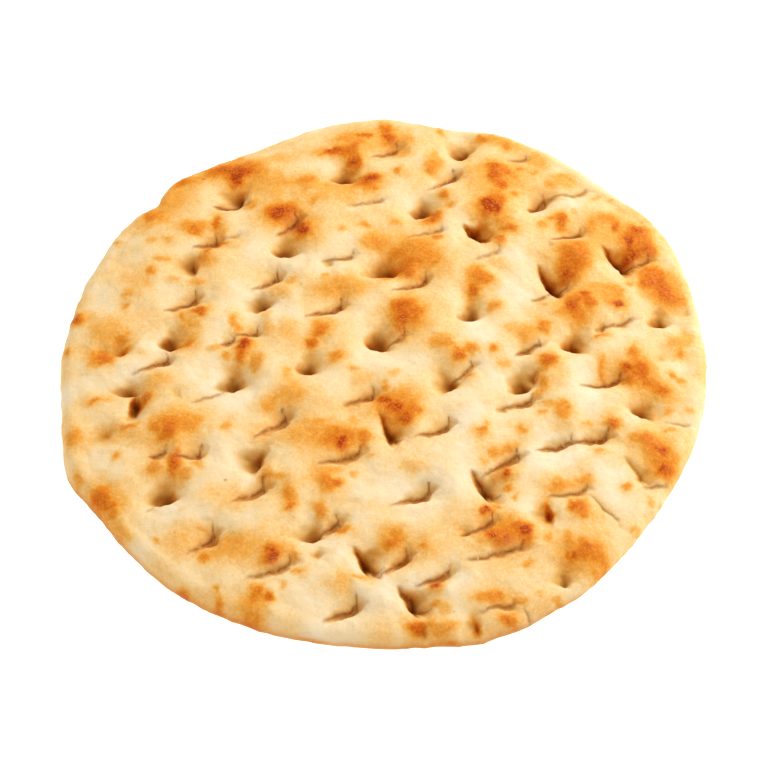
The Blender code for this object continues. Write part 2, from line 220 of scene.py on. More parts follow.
TOAST_FAR_RIGHT = (
    (34, 65, 3, 3, 0.75), (33, 61.5, 2, 2.5, 0.85), (35, 58.5, 1.5, 2, 0.85), (33, 66.5, 1.5, 2, 0.7),
    (37, 64.5, 1.5, 1.5, 0.65), (31, 50.5, 2.5, 3.5, 0.9), (34, 52.5, 2.5, 2.5, 0.75),
    (33, 55.5, 2, 2, 0.6), (38.5, 55.5, 1.3, 1, 0.65), (36.5, 42, 2, 1.8, 0.8), (33.5, 37.5, 1.8, 2, 0.75),
    (34, 45, 3, 2, 0.5), (37.5, 76, 1.3, 2, 0.55), (34, 79, 5, 2, 0.45, -25), (29.5, 79.5, 2, 1.5, 0.7),
    (37.5, 77, 7, 4, 0.35, -30), (40.5, 66, 2, 1.2, 0.55), (44.5, 65, 1.5, 1, 0.5),
    (46, 70, 4, 3, 0.45, -40), (53, 64, 1.2, 1.5, 0.45), (54, 62, 4.5, 3, 0.45), (49.5, 60, 2, 1.5, 0.5),
    (52, 46, 2, 2.5, 0.7, 20), (52.3, 46.5, 1.5, 1.5, 0.75), (52, 43, 1.5, 2, 0.65),
    (48.5, 46, 1.2, 1, 0.6), (46.5, 43, 1.5, 1.5, 0.5), (56, 49, 1, 1, 0.4), (65, 46.5, 3.5, 2.5, 0.6),
    (67.5, 43.5, 1.2, 1.8, 0.85), (60, 44, 2, 3, 0.5), (74, 42.5, 3, 1.5, 0.85, 10),
    (70.5, 38, 1.5, 3, 0.85), (73, 38, 4.5, 6, 0.75), (71.5, 33, 2, 3, 0.9), (76.5, 34, 2, 3, 0.75),
    (55, 33, 5, 4.5, 0.65), (53, 27, 3.5, 5, 0.75), (52, 25, 1.5, 3, 0.8), (56, 30, 4, 5, 0.6),
    (62, 55.5, 2, 0.8, 0.35, 30), (67.5, 55, 1, 0.6, 0.35), (77, 47, 1.5, 1, 0.35, -40),
)
TOAST_LEFT = (
    (-86.5, 10.2, 2.5, 1.5, 0.85, -5), (-67, 26.3, 1.2, 1.8, 0.6), (-72.5, 18.5, 2, 1.5, 0.4),
    (-73, 14, 1.3, 1.2, 0.45), (-70, 22, 5, 4, 0.3), (-60, 23, 2, 1.5, 0.3), (-53, 22.5, 2, 1.5, 0.4),
    (-51.5, 11.5, 2.2, 1.5, 0.85), (-57, 10, 1.3, 1.5, 0.55), (-54, 7, 3, 2, 0.35),
    (-73, 2.5, 2, 1.5, 0.55), (-77, 5, 5, 4, 0.35), (-77, -5, 3, 2, 0.75, 10), (-78.5, -3, 3, 2, 0.6),
    (-71, -0.5, 2, 1, 0.65, 30), (-88.3, -1.3, 1.2, 1.3, 0.65), (-55, 0.3, 2.2, 1.2, 0.65, 20),
    (-53, 3, 3, 1.5, 0.35), (-41.5, 6.5, 1.5, 3, 0.6, 10), (-38.7, -0.5, 2, 3, 0.95),
    (-39, -4.5, 1.5, 2.5, 0.75), (-35, -7, 2, 3, 0.55), (-43.5, -3.5, 1.3, 1.5, 0.55),
    (-46.5, -1.5, 2, 1, 0.45), (-78, -18.5, 2, 0.8, 0.6, 10), (-64, -17.5, 1.7, 1.7, 0.7),
    (-65, -20, 1.5, 1.2, 0.6), (-62, -13, 4, 3, 0.35), (-68, -27.5, 2, 1.5, 0.65, 20),
    (-58, -27, 4, 4, 0.55), (-57, -29, 2.5, 3, 0.7), (-61, -28, 1.5, 1.5, 0.6), (-52, -27, 3, 3, 0.55),
    (-58, -31.5, 2, 1.5, 0.65), (-83, -29.5, 2.5, 2.5, 0.55), (-42, -27.7, 1.3, 1, 0.45),
    (-30.5, -21, 2, 3, 0.45), (-66.5, -2, 1, 1, 0.25), (-33, 11, 2, 2, 0.35), (-32, 6, 2, 3, 0.4),
)
TOAST_BROAD = (
    (-16, 56, 16, 5, 0.4), (34, 63, 12, 7, 0.4), (33, 42, 7, 4, 0.4), (-62, 58, 12, 6, 0.35, 45),
    (-5, 78, 16, 5, 0.35), (62, 40, 6, 5, 0.35), (-48, -62, 8, 5, 0.3, -30), (8, -66, 7, 5, 0.3),
    (-30, -30, 5, 4, 0.32), (-30, 19, 4, 3, 0.35), (55, 10, 6, 6, 0.35), (46, -10, 4, 6, 0.35),
    (-40, -50, 8, 4, 0.32), (-70, -29, 6, 4, 0.35), (-33, 61, 7, 3, 0.35), (29, 53, 6, 9, 0.35),
    (46, 57, 7, 3, 0.35), (2, -22, 5, 5, 0.6),
)
TOAST_MIDDLE = (
    (-27, 22.5, 2, 1.5, 0.45), (-12, 20, 8, 4, 0.42), (-17, 24, 1, 1, 0.5), (1, 23.5, 2, 1, 0.55, -10),
    (26.5, 24, 2.5, 3, 0.6), (25.5, 19.5, 1.5, 1.8, 0.8), (28.5, 23, 2, 2, 0.65, -30), (27, 27, 2, 1, 0.5),
    (31, 13.5, 2, 1.5, 0.6, 30), (6, 11, 4, 4.5, 0.7), (5, 8, 2.5, 3.5, 0.75), (8.5, 9, 2, 3, 0.65),
    (4.5, 13, 3, 2.5, 0.7), (5, 4, 1.5, 2, 0.65), (9, 9, 4, 6, 0.4), (-19.5, 0, 1.7, 2, 0.85),
    (-17.5, 4, 1.7, 2.5, 0.75, -20), (-19, 6.5, 2, 1.5, 0.55), (-17, 5, 4, 4, 0.4),
    (-13.5, -5, 2, 1.5, 0.6, 20), (-27, 5, 3, 4, 0.3), (-8, -9, 1.5, 0.8, 0.4), (-26.5, -11, 1.5, 2, 0.35),
    (3, -10, 2, 1, 0.4), (-5, -12, 3, 2, 0.3), (-25, -18, 4, 4, 0.4), (16, 0, 3.5, 2.5, 0.5),
    (20.5, -4.3, 1.7, 1.5, 0.85), (24, -2.5, 2.5, 1.5, 0.65), (17.5, -1.5, 2, 1.5, 0.55),
    (29.8, -2.5, 1.2, 1.2, 0.75), (23.5, -10.8, 1.3, 1, 0.55), (0.5, -14.5, 1, 1.3, 0.65),
    (0, -19, 2, 1.3, 0.9), (3, -21.5, 2.5, 2, 0.97, -30), (5.5, -25, 2, 2.5, 0.85), (8, -22.5, 2, 2.5, 0.7),
    (5, -20, 5, 6, 0.5, -30), (-13.7, -28.8, 1.2, 1.2, 0.6), (-18, -27, 1.5, 1, 0.45),
    (-8, -26, 1.5, 1.2, 0.4), (-11, -33.5, 2, 2, 0.95), (-11, -33.5, 1.6, 1.6, 1.0),
    (-12, -32, 5, 3.5, 0.65), (-5.5, -31.5, 1.5, 2.5, 0.65), (-20, -30, 8, 4, 0.42),
    (26, -30, 1.5, 1.3, 0.65), (27.5, -27, 1, 1.2, 0.45),
)
TOAST_RIGHT = (
    (77, 25, 3.5, 4, 0.75, 30), (79, 20, 2.5, 3.5, 0.85), (75, 22, 2, 2.5, 0.8), (81.5, 17, 3, 2.5, 0.65),
    (84.5, 17, 1.5, 2, 0.5), (79, 21, 6, 7, 0.5), (70, 21.5, 1.2, 1.3, 0.55), (53, 13, 2.5, 3, 0.85),
    (56.5, 16.5, 2, 1.5, 0.85), (58, 14, 2, 2, 0.75), (54, 9.5, 2.5, 2, 0.7), (54, 13, 6, 6, 0.5),
    (65.5, 13.5, 2, 1.7, 0.85), (65.5, 13, 1, 0.8, 1.0), (66.5, 17, 1, 1.5, 0.55), (65, 15, 4, 3, 0.45),
    (62, 19, 6, 2.5, 0.42), (44.5, 5.5, 2, 2.5, 0.65, -20), (40, 3, 4, 3, 0.45), (36.5, 5, 3, 2, 0.35),
    (45, 14, 1.2, 1, 0.45), (59.5, 2.5, 2.5, 0.8, 0.6, 20), (81.5, -2.5, 1, 1.5, 0.65),
    (81, 1.5, 2.5, 2.5, 0.4), (84, 3, 2, 3, 0.3), (66, -8, 1.7, 2, 0.85), (69, -3, 1.5, 2.5, 0.65),
    (70.5, -9, 2.5, 3, 0.8), (75.5, -15.5, 2.5, 2, 0.75), (72, -13, 3, 2, 0.7), (67, -12, 2, 1.5, 0.65),
    (70, -9, 4.5, 5, 0.6), (60, -7.5, 1.3, 3.5, 0.5), (60, -10, 1.3, 1.2, 0.6), (79.5, -10, 1.3, 1.2, 0.6),
    (81.5, -12, 1.2, 1.2, 0.5), (76.5, -21, 1.3, 1.2, 0.45), (82.5, -21, 1.5, 1, 0.35),
    (76.5, -28.3, 1.5, 0.8, 0.55), (45, -6, 2.5, 2, 0.85), (43.5, -8, 1.5, 1.5, 0.6),
    (43, -12.5, 1.5, 3, 0.6, 15), (42, -16, 1.3, 2, 0.5), (48, -22.5, 2, 3, 0.6), (43, -23, 1.3, 1.3, 0.5),
    (45, -20, 2.5, 1, 0.45), (61, -27, 1.7, 2, 0.85), (63, -26.5, 1.5, 1.5, 0.5),
    (37.3, -28.8, 1.2, 1.2, 0.5), (54.5, -26.5, 1.3, 0.8, 0.45), (33, -6.5, 1.2, 1.2, 0.4),
    (32, 29, 2, 1.5, 0.35),
)
TOAST_NEAR_LEFT = (
    (-70.5, -37, 1.3, 1.3, 0.55), (-80.5, -43, 1, 2, 0.5), (-55, -39, 1.7, 3.5, 0.85),
    (-60, -40.5, 2, 1.8, 0.55), (-52.5, -43, 2, 1.8, 0.5), (-49, -39.5, 2, 1.5, 0.45),
    (-74, -48.5, 2.7, 2.5, 0.75), (-72.5, -51.5, 3, 2, 0.75, -10), (-70, -54.5, 1.3, 1.5, 0.6),
    (-72, -52, 5, 5, 0.45), (-68, -59, 4, 2, 0.45, -40), (-58, -62, 1.5, 0.8, 0.5),
    (-51, -77, 2.5, 1.5, 0.7, -35), (-41.5, -80.5, 1.2, 2, 0.6), (-40, -82.5, 3, 1.2, 0.5, -20),
    (-42, -76.5, 0.8, 1.2, 0.5), (-47, -58.5, 1.5, 1, 0.4), (-46, -66.5, 1.5, 2, 0.6),
    (-40, -64, 8, 4, 0.45), (-28.5, -67.5, 2, 2, 0.97), (-29, -67, 3, 3, 0.7), (-32, -78, 1.5, 3, 0.7),
    (-29, -79, 1.3, 1.3, 0.8), (-33, -84.5, 3, 2, 0.6, -20), (-32, -80, 4, 4, 0.45),
    (-25.5, -75.5, 1, 1, 0.45), (-31, -43, 2, 3, 0.55), (-27.5, -43.5, 1.5, 1, 0.5), (-52, -53, 1, 1, 0.3),
)
TOAST_NEAR = (
    (-24.5, -50.5, 1.7, 4, 0.6, 20), (-24, -53, 1.5, 1.2, 0.7), (-25, -48.5, 1.5, 2, 0.5),
    (-15, -46, 2, 3.5, 0.65, 15), (-12.3, -45.8, 1.5, 1.3, 0.8), (-16.5, -54, 1.7, 2.5, 0.65),
    (-13.5, -42, 2, 1, 0.45), (-11.5, -59, 3, 1, 0.6, -10), (-8, -43, 1.2, 1, 0.35),
    (2, -63.5, 2.2, 2, 0.65), (3, -61, 2, 2, 0.5), (1, -61, 3, 4, 0.3), (10, -64.5, 1.3, 0.8, 0.6, 10),
    (-23.5, -67, 1.2, 1.5, 0.55), (-22, -71.5, 1.5, 1, 0.45), (-6.5, -73, 2, 0.8, 0.5, -10),
    (-11, -75, 3, 3, 0.3), (13.5, -75.3, 1.5, 1, 0.95, 30), (13, -79.5, 1.2, 1, 0.55),
    (15, -81.5, 1.5, 2, 0.4), (26.5, -54, 2, 1.7, 0.85, 30), (26.5, -53.5, 1, 1.2, 0.9),
    (29.5, -52.5, 1, 1, 0.6), (27.5, -61.5, 2.2, 1.5, 0.85, -30), (31, -63, 3, 2.5, 0.7),
    (8, -86.5, 2, 1.8, 0.85, 40), (11.5, -85.5, 1, 1.5, 0.5), (16, -90.5, 4, 1, 0.65), (14, -87, 4, 2, 0.5),
    (23, -86, 1, 2, 0.75), (27, -79, 4, 1.7, 0.6), (30, -84.5, 2, 1.5, 0.7), (8, -41, 3, 2, 0.3),
    (-4, -37.5, 1.5, 1, 0.35),
)
TOAST_NEAR_RIGHT = (
    (73.5, -35, 2, 2, 0.92), (70, -32, 3, 2.5, 0.7), (74.5, -40.5, 2.5, 2.5, 0.85), (67, -31, 2, 1.5, 0.55),
    (73, -36, 4.5, 6, 0.6), (77, -37, 1, 1.5, 0.5), (57, -35, 1.2, 1, 0.5), (46.5, -46, 2.5, 2, 0.55),
    (51.5, -45, 2.5, 2, 0.5), (44, -48, 1, 1.2, 0.5), (52, -43.5, 1.5, 1, 0.4),
    (64, -45.8, 1.3, 1.3, 0.6, -30), (70, -50.5, 1, 1.5, 0.4), (50.5, -53, 3, 2.2, 0.7),
    (48.5, -52.5, 1.3, 1.2, 0.75), (51.5, -55, 1.7, 1.5, 0.7), (51, -51, 1.5, 1.5, 0.65),
    (42.3, -53.5, 1.2, 2.5, 0.85), (36.3, -60, 2.2, 1.5, 0.95, 20), (36.3, -60.2, 1.2, 0.9, 1.0, 20),
    (34, -58.5, 2, 1.5, 0.75), (31, -62, 3, 3, 0.65), (36, -62.5, 2, 2, 0.75), (31, -60, 6, 5, 0.55),
    (42, -61.5, 1.3, 1.2, 0.5), (52, -65.5, 4, 3, 0.65), (48, -66.5, 1.5, 1.7, 0.75),
    (52, -64.5, 1.5, 1.2, 0.75), (56, -68, 2, 2, 0.6), (54, -71, 1.5, 1, 0.55), (52, -67, 6, 5, 0.45),
    (64.5, -58, 2, 1.5, 0.4), (47.5, -62, 1, 2, 0.5), (37, -69, 1.3, 1, 0.5), (44, -78.5, 1.5, 1.2, 0.5),
    (39, -77, 1, 1, 0.3), (32, -42, 1.5, 1.3, 0.97, 30), (32, -46.5, 1.2, 1, 0.55), (34, -49.5, 1, 1, 0.4),
    (32.5, -35, 2.5, 1.3, 0.55, 30), (29.5, -36, 2, 2, 0.5), (35, -33.5, 1, 1, 0.4),
    (26, -39, 1.2, 1.2, 0.4), (34, -79.5, 2, 1, 0.5), (31.5, -84, 1.5, 1.5, 0.65), (57, -70, 3, 1, 0.5, 40),
    (73, -50, 1, 1, 0.5),
)
TOAST_ROWS = (
    *TOAST_BROAD, *TOAST_FAR_LEFT, *TOAST_FAR, *TOAST_FAR_RIGHT, *TOAST_LEFT, *TOAST_MIDDLE,
    *TOAST_RIGHT, *TOAST_NEAR_LEFT, *TOAST_NEAR, *TOAST_NEAR_RIGHT,
)


def eased(share: np.ndarray) -> np.ndarray:
    """Turns a share of 0 to 1 into one that starts and ends gently."""
    share = np.clip(share, 0, 1)
    return share * share * (3 - 2 * share)


def bell(out: np.ndarray, width: float) -> np.ndarray:
    """Falls from 1 in the middle towards 0 far out, and is down to about a third one width out."""
    return np.exp(-((out / width) ** 2))


@dataclass(frozen=True)
class Ease:
    """A gentle rise from 0 to 1: the value at which it starts, and its width."""

    start: float
    width: float

    def at(self, value: np.ndarray) -> np.ndarray:
        """Reads the rise at each value."""
        return eased((value - self.start) / self.width)


@dataclass(frozen=True)
class Grain:
    """Smooth seeded unevenness over the plane of the bread.

    Args:
        seed: Seed of its random numbers.
        pitch: Distance between its lumps, in millimetres.
        height: Its highest value, and with a minus sign its lowest.
        cells: Lumps along each side before they repeat.
    """

    seed: int
    pitch: float
    height: float = 1.0
    cells: int = 256

    def at(self, x: np.ndarray, y: np.ndarray) -> np.ndarray:
        """Reads the unevenness.

        Args:
            x: Places to the right, in millimetres.
            y: Places away from the viewer, in millimetres.

        Returns:
            One value for each place.
        """
        lattice = np.random.default_rng(self.seed).uniform(-1, 1, (self.cells, self.cells))
        column, row = np.floor(x / self.pitch).astype(int), np.floor(y / self.pitch).astype(int)
        across, up = eased(x / self.pitch - column), eased(y / self.pitch - row)
        low = lattice[row % self.cells, column % self.cells] * (1 - across)
        low += lattice[row % self.cells, (column + 1) % self.cells] * across
        high = lattice[(row + 1) % self.cells, column % self.cells] * (1 - across)
        high += lattice[(row + 1) % self.cells, (column + 1) % self.cells] * across
        return self.height * (low * (1 - up) + high * up)


@dataclass(frozen=True)
class Wobble:
    """Moves places about, so that what is drawn at them has ragged edges.

    Args:
        right: The broad and the fine grain that move them to the right, in millimetres.
        away: The two that move them away from the viewer.
    """

    right: tuple[Grain, Grain]
    away: tuple[Grain, Grain]

    def move(self, x: np.ndarray, y: np.ndarray) -> tuple[np.ndarray, np.ndarray]:
        """Moves places.

        Args:
            x: Places to the right, in millimetres.
            y: Places away from the viewer, in millimetres.

        Returns:
            The new places to the right and away from the viewer.
        """
        broad, fine = (grain.at(x, y) for grain in self.right)
        x = x + broad + fine
        broad, fine = (grain.at(x, y) for grain in self.away)
        return x, y + broad + fine


@dataclass(frozen=True)
class Spread:
    """How much further out than a mark its effect reaches each way, in millimetres.

    Args:
        left: Added to the mark's left length.
        right: Added to its right length.
        far: Added to its far width.
        near: Added to its near width.
        shift: Distance towards the viewer that the effect's middle lies from the mark's.
    """

    left: float = 0.0
    right: float = 0.0
    far: float = 0.0
    near: float = 0.0
    shift: float = 0.0


@dataclass
class Docker:
    """The docker, which presses its marks into the dough. Its sizes are in millimetres.

    Args:
        marks: Every mark that it leaves.
        wobble: Unevenness of the dough that moves the marks' edges.
        drag: Reach of the dough that each mark drags down with it, so that it pillows between marks.
        drag_share: Depth of that drag, as a share of the mark's depth.
        drag_power: How softly it meets the dough round it.
        lip: Reach of the swell that the pushed dough makes beyond the near lip.
        lip_share: Height of that swell, as a share of the mark's depth.
        bowl: How much further out than its pin a pit's walls reach.
        bowl_power: How softly a pit's near left wall meets the top.
        bulge: How much more softly its far right wall does, so that the dough bulges into the pit.
        bulge_bearing: Bearing of that wall from the pit's lowest point, in degrees.
        fold_turn: Bearing below which a pit's long near side is a fold with a slot's crease, in degrees.
        fold_share: Depth of that fold and darkness of its painted shade line, as a share of the pit's.
        blade_share: How much of a slot's depth is its own, beyond what it drags down.
        fan: How far a slot's ends lean to the right, for each millimetre away from its near lip.
        curl: How sharply a slot's right end turns up.
        curl_start: Where the part that turns up starts, left of the lowest point, in left lengths.
        curl_reach: Length of that part.
        end_reach: How far a slot's ends reach, in its own lengths.
        right_reach: How much further its right end reaches.
        right_squareness: How square that end is.
        left_squareness: How square its left end is.
        end_fade: How much more softly its ends rise at its far brim than at its crease.
        shallow_end: Depth of its left end, as a share of its right end's.
        ramp_power: How much its floor steepens towards its crease.
        lip_power: How much its near lip steepens towards its crease.
        lip_round: How far the near lip rolls over, in near widths of the slot.
        crease_seen: How far beyond a slot's lowest line its painted dark line of shade lies, for each
            millimetre of depth.
        crease_width: Width of the painted dark line of shade at the bottom of a slot.
        crease_power: How sharply that line ends at its sides.
        crease_fade: How early it fades towards the slot's ends.
        hook_place: Where along the slot the line turns up, in right lengths.
        hook_height: How far up it turns, in far widths.
        hook_thinness: How many times thinner it is where it turns up.
        crowding: How much closer the mesh's points are at a crease.
        crowding_reach: How far from a crease they still crowd.
        crowding_ends: How far along a crease they crowd, in lengths of the slot.
        crowding_line: Where they crowd, as a share of the way from the lowest line to the dark line.
        crease_depth: Depth from which the painted shade of a slot's crease is at its darkest.
        ramp_depth: Depth from which a slot's floor is at its palest.
        hollow_shade_depth: Depth from which a pit's painted shade is at its darkest.
        fold_depth: Depth from which the painted shade line of a pit's fold is at its darkest.
        join_power: How sharply the deeper of two marks wins where they meet.
    """

    marks: tuple[Mark, ...]
    wobble: Wobble = Wobble(
        (Grain(3, 3.7, 0.4), Grain(5, 1.4, 0.28)), (Grain(4, 3.1, 0.4), Grain(6, 1.3, 0.28))
    )
    drag: Spread = Spread(9.0, 8.0, 10.0, 7.0)
    drag_share: float = 0.8
    drag_power: float = 2.0
    lip: Spread = Spread(0.5, 1.5, -0.5, 1.5, 3.0)
    lip_share: float = 0.12
    bowl: Spread = Spread(1.6, 4.2, 5.2, 0.3)
    bowl_power: float = 1.15
    bulge: float = 2.7
    bulge_bearing: float = 50.0
    fold_turn: float = -40.0
    fold_share: float = 0.85
    blade_share: float = 0.64
    fan: float = 0.35
    curl: float = 0.08
    curl_start: float = 0.2
    curl_reach: float = 3.6
    end_reach: float = 1.15
    right_reach: float = 1.8
    right_squareness: float = 2.0
    left_squareness: float = 2.6
    end_fade: float = 5.0
    shallow_end: float = 0.85
    ramp_power: float = 2.4
    lip_power: float = 1.3
    lip_round: float = 0.9
    crease_seen: float = 0.19
    crease_width: float = 0.38
    crease_power: float = 1.5
    crease_fade: float = 0.3
    hook_place: float = 0.72
    hook_height: float = 0.4
    hook_thinness: float = 1.25
    crowding: float = 0.55
    crowding_reach: float = 1.6
    crowding_ends: float = 1.4
    crowding_line: float = 0.5
    crease_depth: float = 1.8
    ramp_depth: float = 2.0
    hollow_shade_depth: float = 4.5
    fold_depth: float = 4.0
    join_power: int = 4

    def own_place(self, mark: Mark, x: np.ndarray, y: np.ndarray) -> tuple[np.ndarray, np.ndarray]:
        """Says where places lie along and across a mark.

        Args:
            mark: The mark.
            x: Places to the right, in millimetres.
            y: Places away from the viewer, in millimetres.

        Returns:
            The places along and across it, from its lowest point, in millimetres.
        """
        turn = np.radians(mark.turn)
        along = np.cos(turn) * (x - mark.x) + np.sin(turn) * (y - mark.y)
        return along, np.cos(turn) * (y - mark.y) - np.sin(turn) * (x - mark.x)

    def from_curl(self, mark: Mark, along: np.ndarray, across: np.ndarray) -> np.ndarray:
        """Places across a slot, measured from its lowest line, which turns up at its right end."""
        return across - self.curl * np.clip(along + self.curl_start * mark.left, 0, self.curl_reach) ** 2

    def cone_share(self, mark: Mark, along: np.ndarray, across: np.ndarray, spread: Spread) -> np.ndarray:
        """Says how far down in a cone each place lies.

        Args:
            mark: The mark.
            along: Places along it, in millimetres.
            across: Places across it, in millimetres.
            spread: How much further out than the mark the cone reaches.

        Returns:
            1 at its lowest point and 0 at its brim and beyond.
        """
        across = across + spread.shift
        right, left = mark.right + spread.right, mark.left + spread.left
        far, near = mark.far + spread.far, mark.near + spread.near
        out = np.hypot(along / np.where(along > 0, right, left), across / np.where(across > 0, far, near))
        return np.clip(1 - out, 0, 1)

    def pit_share(self, mark: Mark, along: np.ndarray, across: np.ndarray) -> np.ndarray:
        """Says how far down in a pit each place lies.

        Args:
            mark: The pit's mark.
            along: Places along it, in millimetres.
            across: Places across it, in millimetres.

        Returns:
            1 at its lowest point and 0 at its brim and beyond.
        """
        bearing = np.radians(self.bulge_bearing - mark.turn)
        toward = np.cos(bearing) * along + np.sin(bearing) * across
        toward = toward / np.maximum(np.hypot(along, across), SPECK)
        power = self.bowl_power + self.bulge * eased((1 + toward) / 2)
        return self.cone_share(mark, along, across, self.bowl) ** power

    def slot_share(self, mark: Mark, along: np.ndarray, across: np.ndarray) -> tuple[np.ndarray, np.ndarray]:
        """Says how far down in a slot each place lies, and how near to the line of its crease.

        Args:
            mark: The slot's mark.
            along: Places along it, in millimetres.
            across: Places across it, in millimetres.

        Returns:
            Two shares: 1 at the lowest point and 0 at the brim, then 1 on the line and 0 away from it.
        """
        across = self.from_curl(mark, along, across)
        along = along - self.fan * np.clip(across, 0, mark.far)
        length = self.end_reach * np.where(along > 0, mark.right, mark.left)
        length = length + np.where(along > 0, self.right_reach, 0)
        square = np.where(along > 0, self.right_squareness, self.left_squareness)
        ends = np.clip(1 - np.abs(along / length) ** square, 0, 1)
        ends = ends ** (1 + self.end_fade * np.clip(across / mark.far, 0, 1))
        floor = np.clip(1 - across / mark.far, 0, 1) ** self.ramp_power
        lip = np.clip(1 + across / (mark.near * self.lip_round), 0, 1) ** self.lip_power
        depth = 1 - (1 - self.shallow_end) * np.clip(-along / mark.left, 0, 1)
        # The painted shade line: along the crease, and turning up at the slot's right end.
        corner = self.hook_place * mark.right
        hook = np.clip(across, 0, self.hook_height * mark.far)
        seen = self.crease_seen * mark.depth * depth * np.clip(1 - (along / length) ** 2, 0, 1)
        from_line = np.hypot(np.clip(along - corner, 0, None), across - seen)
        from_hook = self.hook_thinness * np.hypot(along - corner, across - hook)
        line = np.exp(-((np.minimum(from_line, from_hook) / self.crease_width) ** self.crease_power))
        return ends * np.where(across > 0, floor, lip) * depth, line * ends**self.crease_fade

    def crowd(self, x: np.ndarray, y: np.ndarray) -> tuple[np.ndarray, np.ndarray]:
        """Draws places in towards the creases of the slots, where the surface turns most.

        Args:
            x: Places to the right, in millimetres.
            y: Places away from the viewer, in millimetres.

        Returns:
            The new places to the right and away from the viewer.
        """
        for mark in (mark for mark in self.marks if mark.pin is Pin.BLADE):
            along, across = self.own_place(mark, x, y)
            across = self.from_curl(mark, along, across)
            across = across - self.crowding_line * self.crease_seen * mark.depth
            length = np.where(along > 0, mark.right, mark.left)
            ends = np.clip(1 - (along / length / self.crowding_ends) ** 2, 0, 1)
            shift = self.crowding * ends * across * bell(across, self.crowding_reach)
            turn = np.radians(mark.turn)
            x, y = x + np.sin(turn) * shift, y - np.cos(turn) * shift
        return x, y

    def press_slot(self, mark: Mark, along: np.ndarray, across: np.ndarray) -> dict[str, np.ndarray]:
        """Presses one slot.

        Args:
            mark: The slot's mark.
            along: Places along it, in millimetres.
            across: Places across it, in millimetres.

        Returns:
            Its own depth in millimetres as "mark", the share "crease" of the painted shade line at its
            bottom, and the share "ramp".
        """
        share, line = self.slot_share(mark, along, across)
        return {
            "mark": mark.depth * share * self.blade_share,
            "crease": min(1.0, mark.depth / self.crease_depth) * line,
            "ramp": min(1.0, mark.depth / self.ramp_depth) * share,
        }

    def press_pit(self, mark: Mark, along: np.ndarray, across: np.ndarray) -> dict[str, np.ndarray]:
        """Presses one pit.

        Args:
            mark: The pit's mark.
            along: Places along it, in millimetres.
            across: Places across it, in millimetres.

        Returns:
            Its own depth in millimetres as "mark", and shares of 0 to 1 for its painted shade and, where it
            has a fold, for the painted shade line of that fold.
        """
        share = self.pit_share(mark, along, across)
        made = {"hollow_shade": min(1.0, mark.depth / self.hollow_shade_depth) * share}
        if mark.turn < self.fold_turn:
            fold, line = self.slot_share(mark, along, across)
            share = np.maximum(share, self.fold_share * fold)
            made["crease"] = self.fold_share * min(1.0, mark.depth / self.fold_depth) * line
        return {"mark": mark.depth * share, **made}

    def press(self, x: np.ndarray, y: np.ndarray) -> dict[str, np.ndarray]:
        """Presses every mark.

        Args:
            x: Places to the right, in millimetres.
            y: Places away from the viewer, in millimetres.

        Returns:
            For each place the "depth" of the dough in millimetres, and as shares of 0 to 1 how much painted
            shade it takes in a pit and in the line of a crease, and how far down a "ramp" it lies.
        """
        x, y = self.wobble.move(x, y)
        sums = {name: np.zeros_like(x) for name in ("mark", "drag", "lip", "hollow_shade", "crease", "ramp")}
        for mark in self.marks:
            reach = max(mark.left, mark.right, mark.far) + self.drag.left + self.lip.shift
            near = np.flatnonzero((np.abs(x - mark.x) < reach) & (np.abs(y - mark.y) < reach))
            place = self.own_place(mark, x[near], y[near])
            made = self.press_slot(mark, *place) if mark.pin is Pin.BLADE else self.press_pit(mark, *place)
            drag, lip = (self.cone_share(mark, *place, spread) for spread in (self.drag, self.lip))
            made["drag"] = self.drag_share * mark.depth * drag**self.drag_power
            made["lip"] = self.lip_share * mark.depth * eased(lip)
            for name, amount in made.items():
                sums[name][near] += amount**self.join_power
        joined = {name: total ** (1 / self.join_power) for name, total in sums.items()}
        shares = {name: np.clip(joined[name], 0, 1) for name in ("hollow_shade", "crease", "ramp")}
        return {"depth": joined["mark"] + joined["drag"] - joined["lip"], **shares}


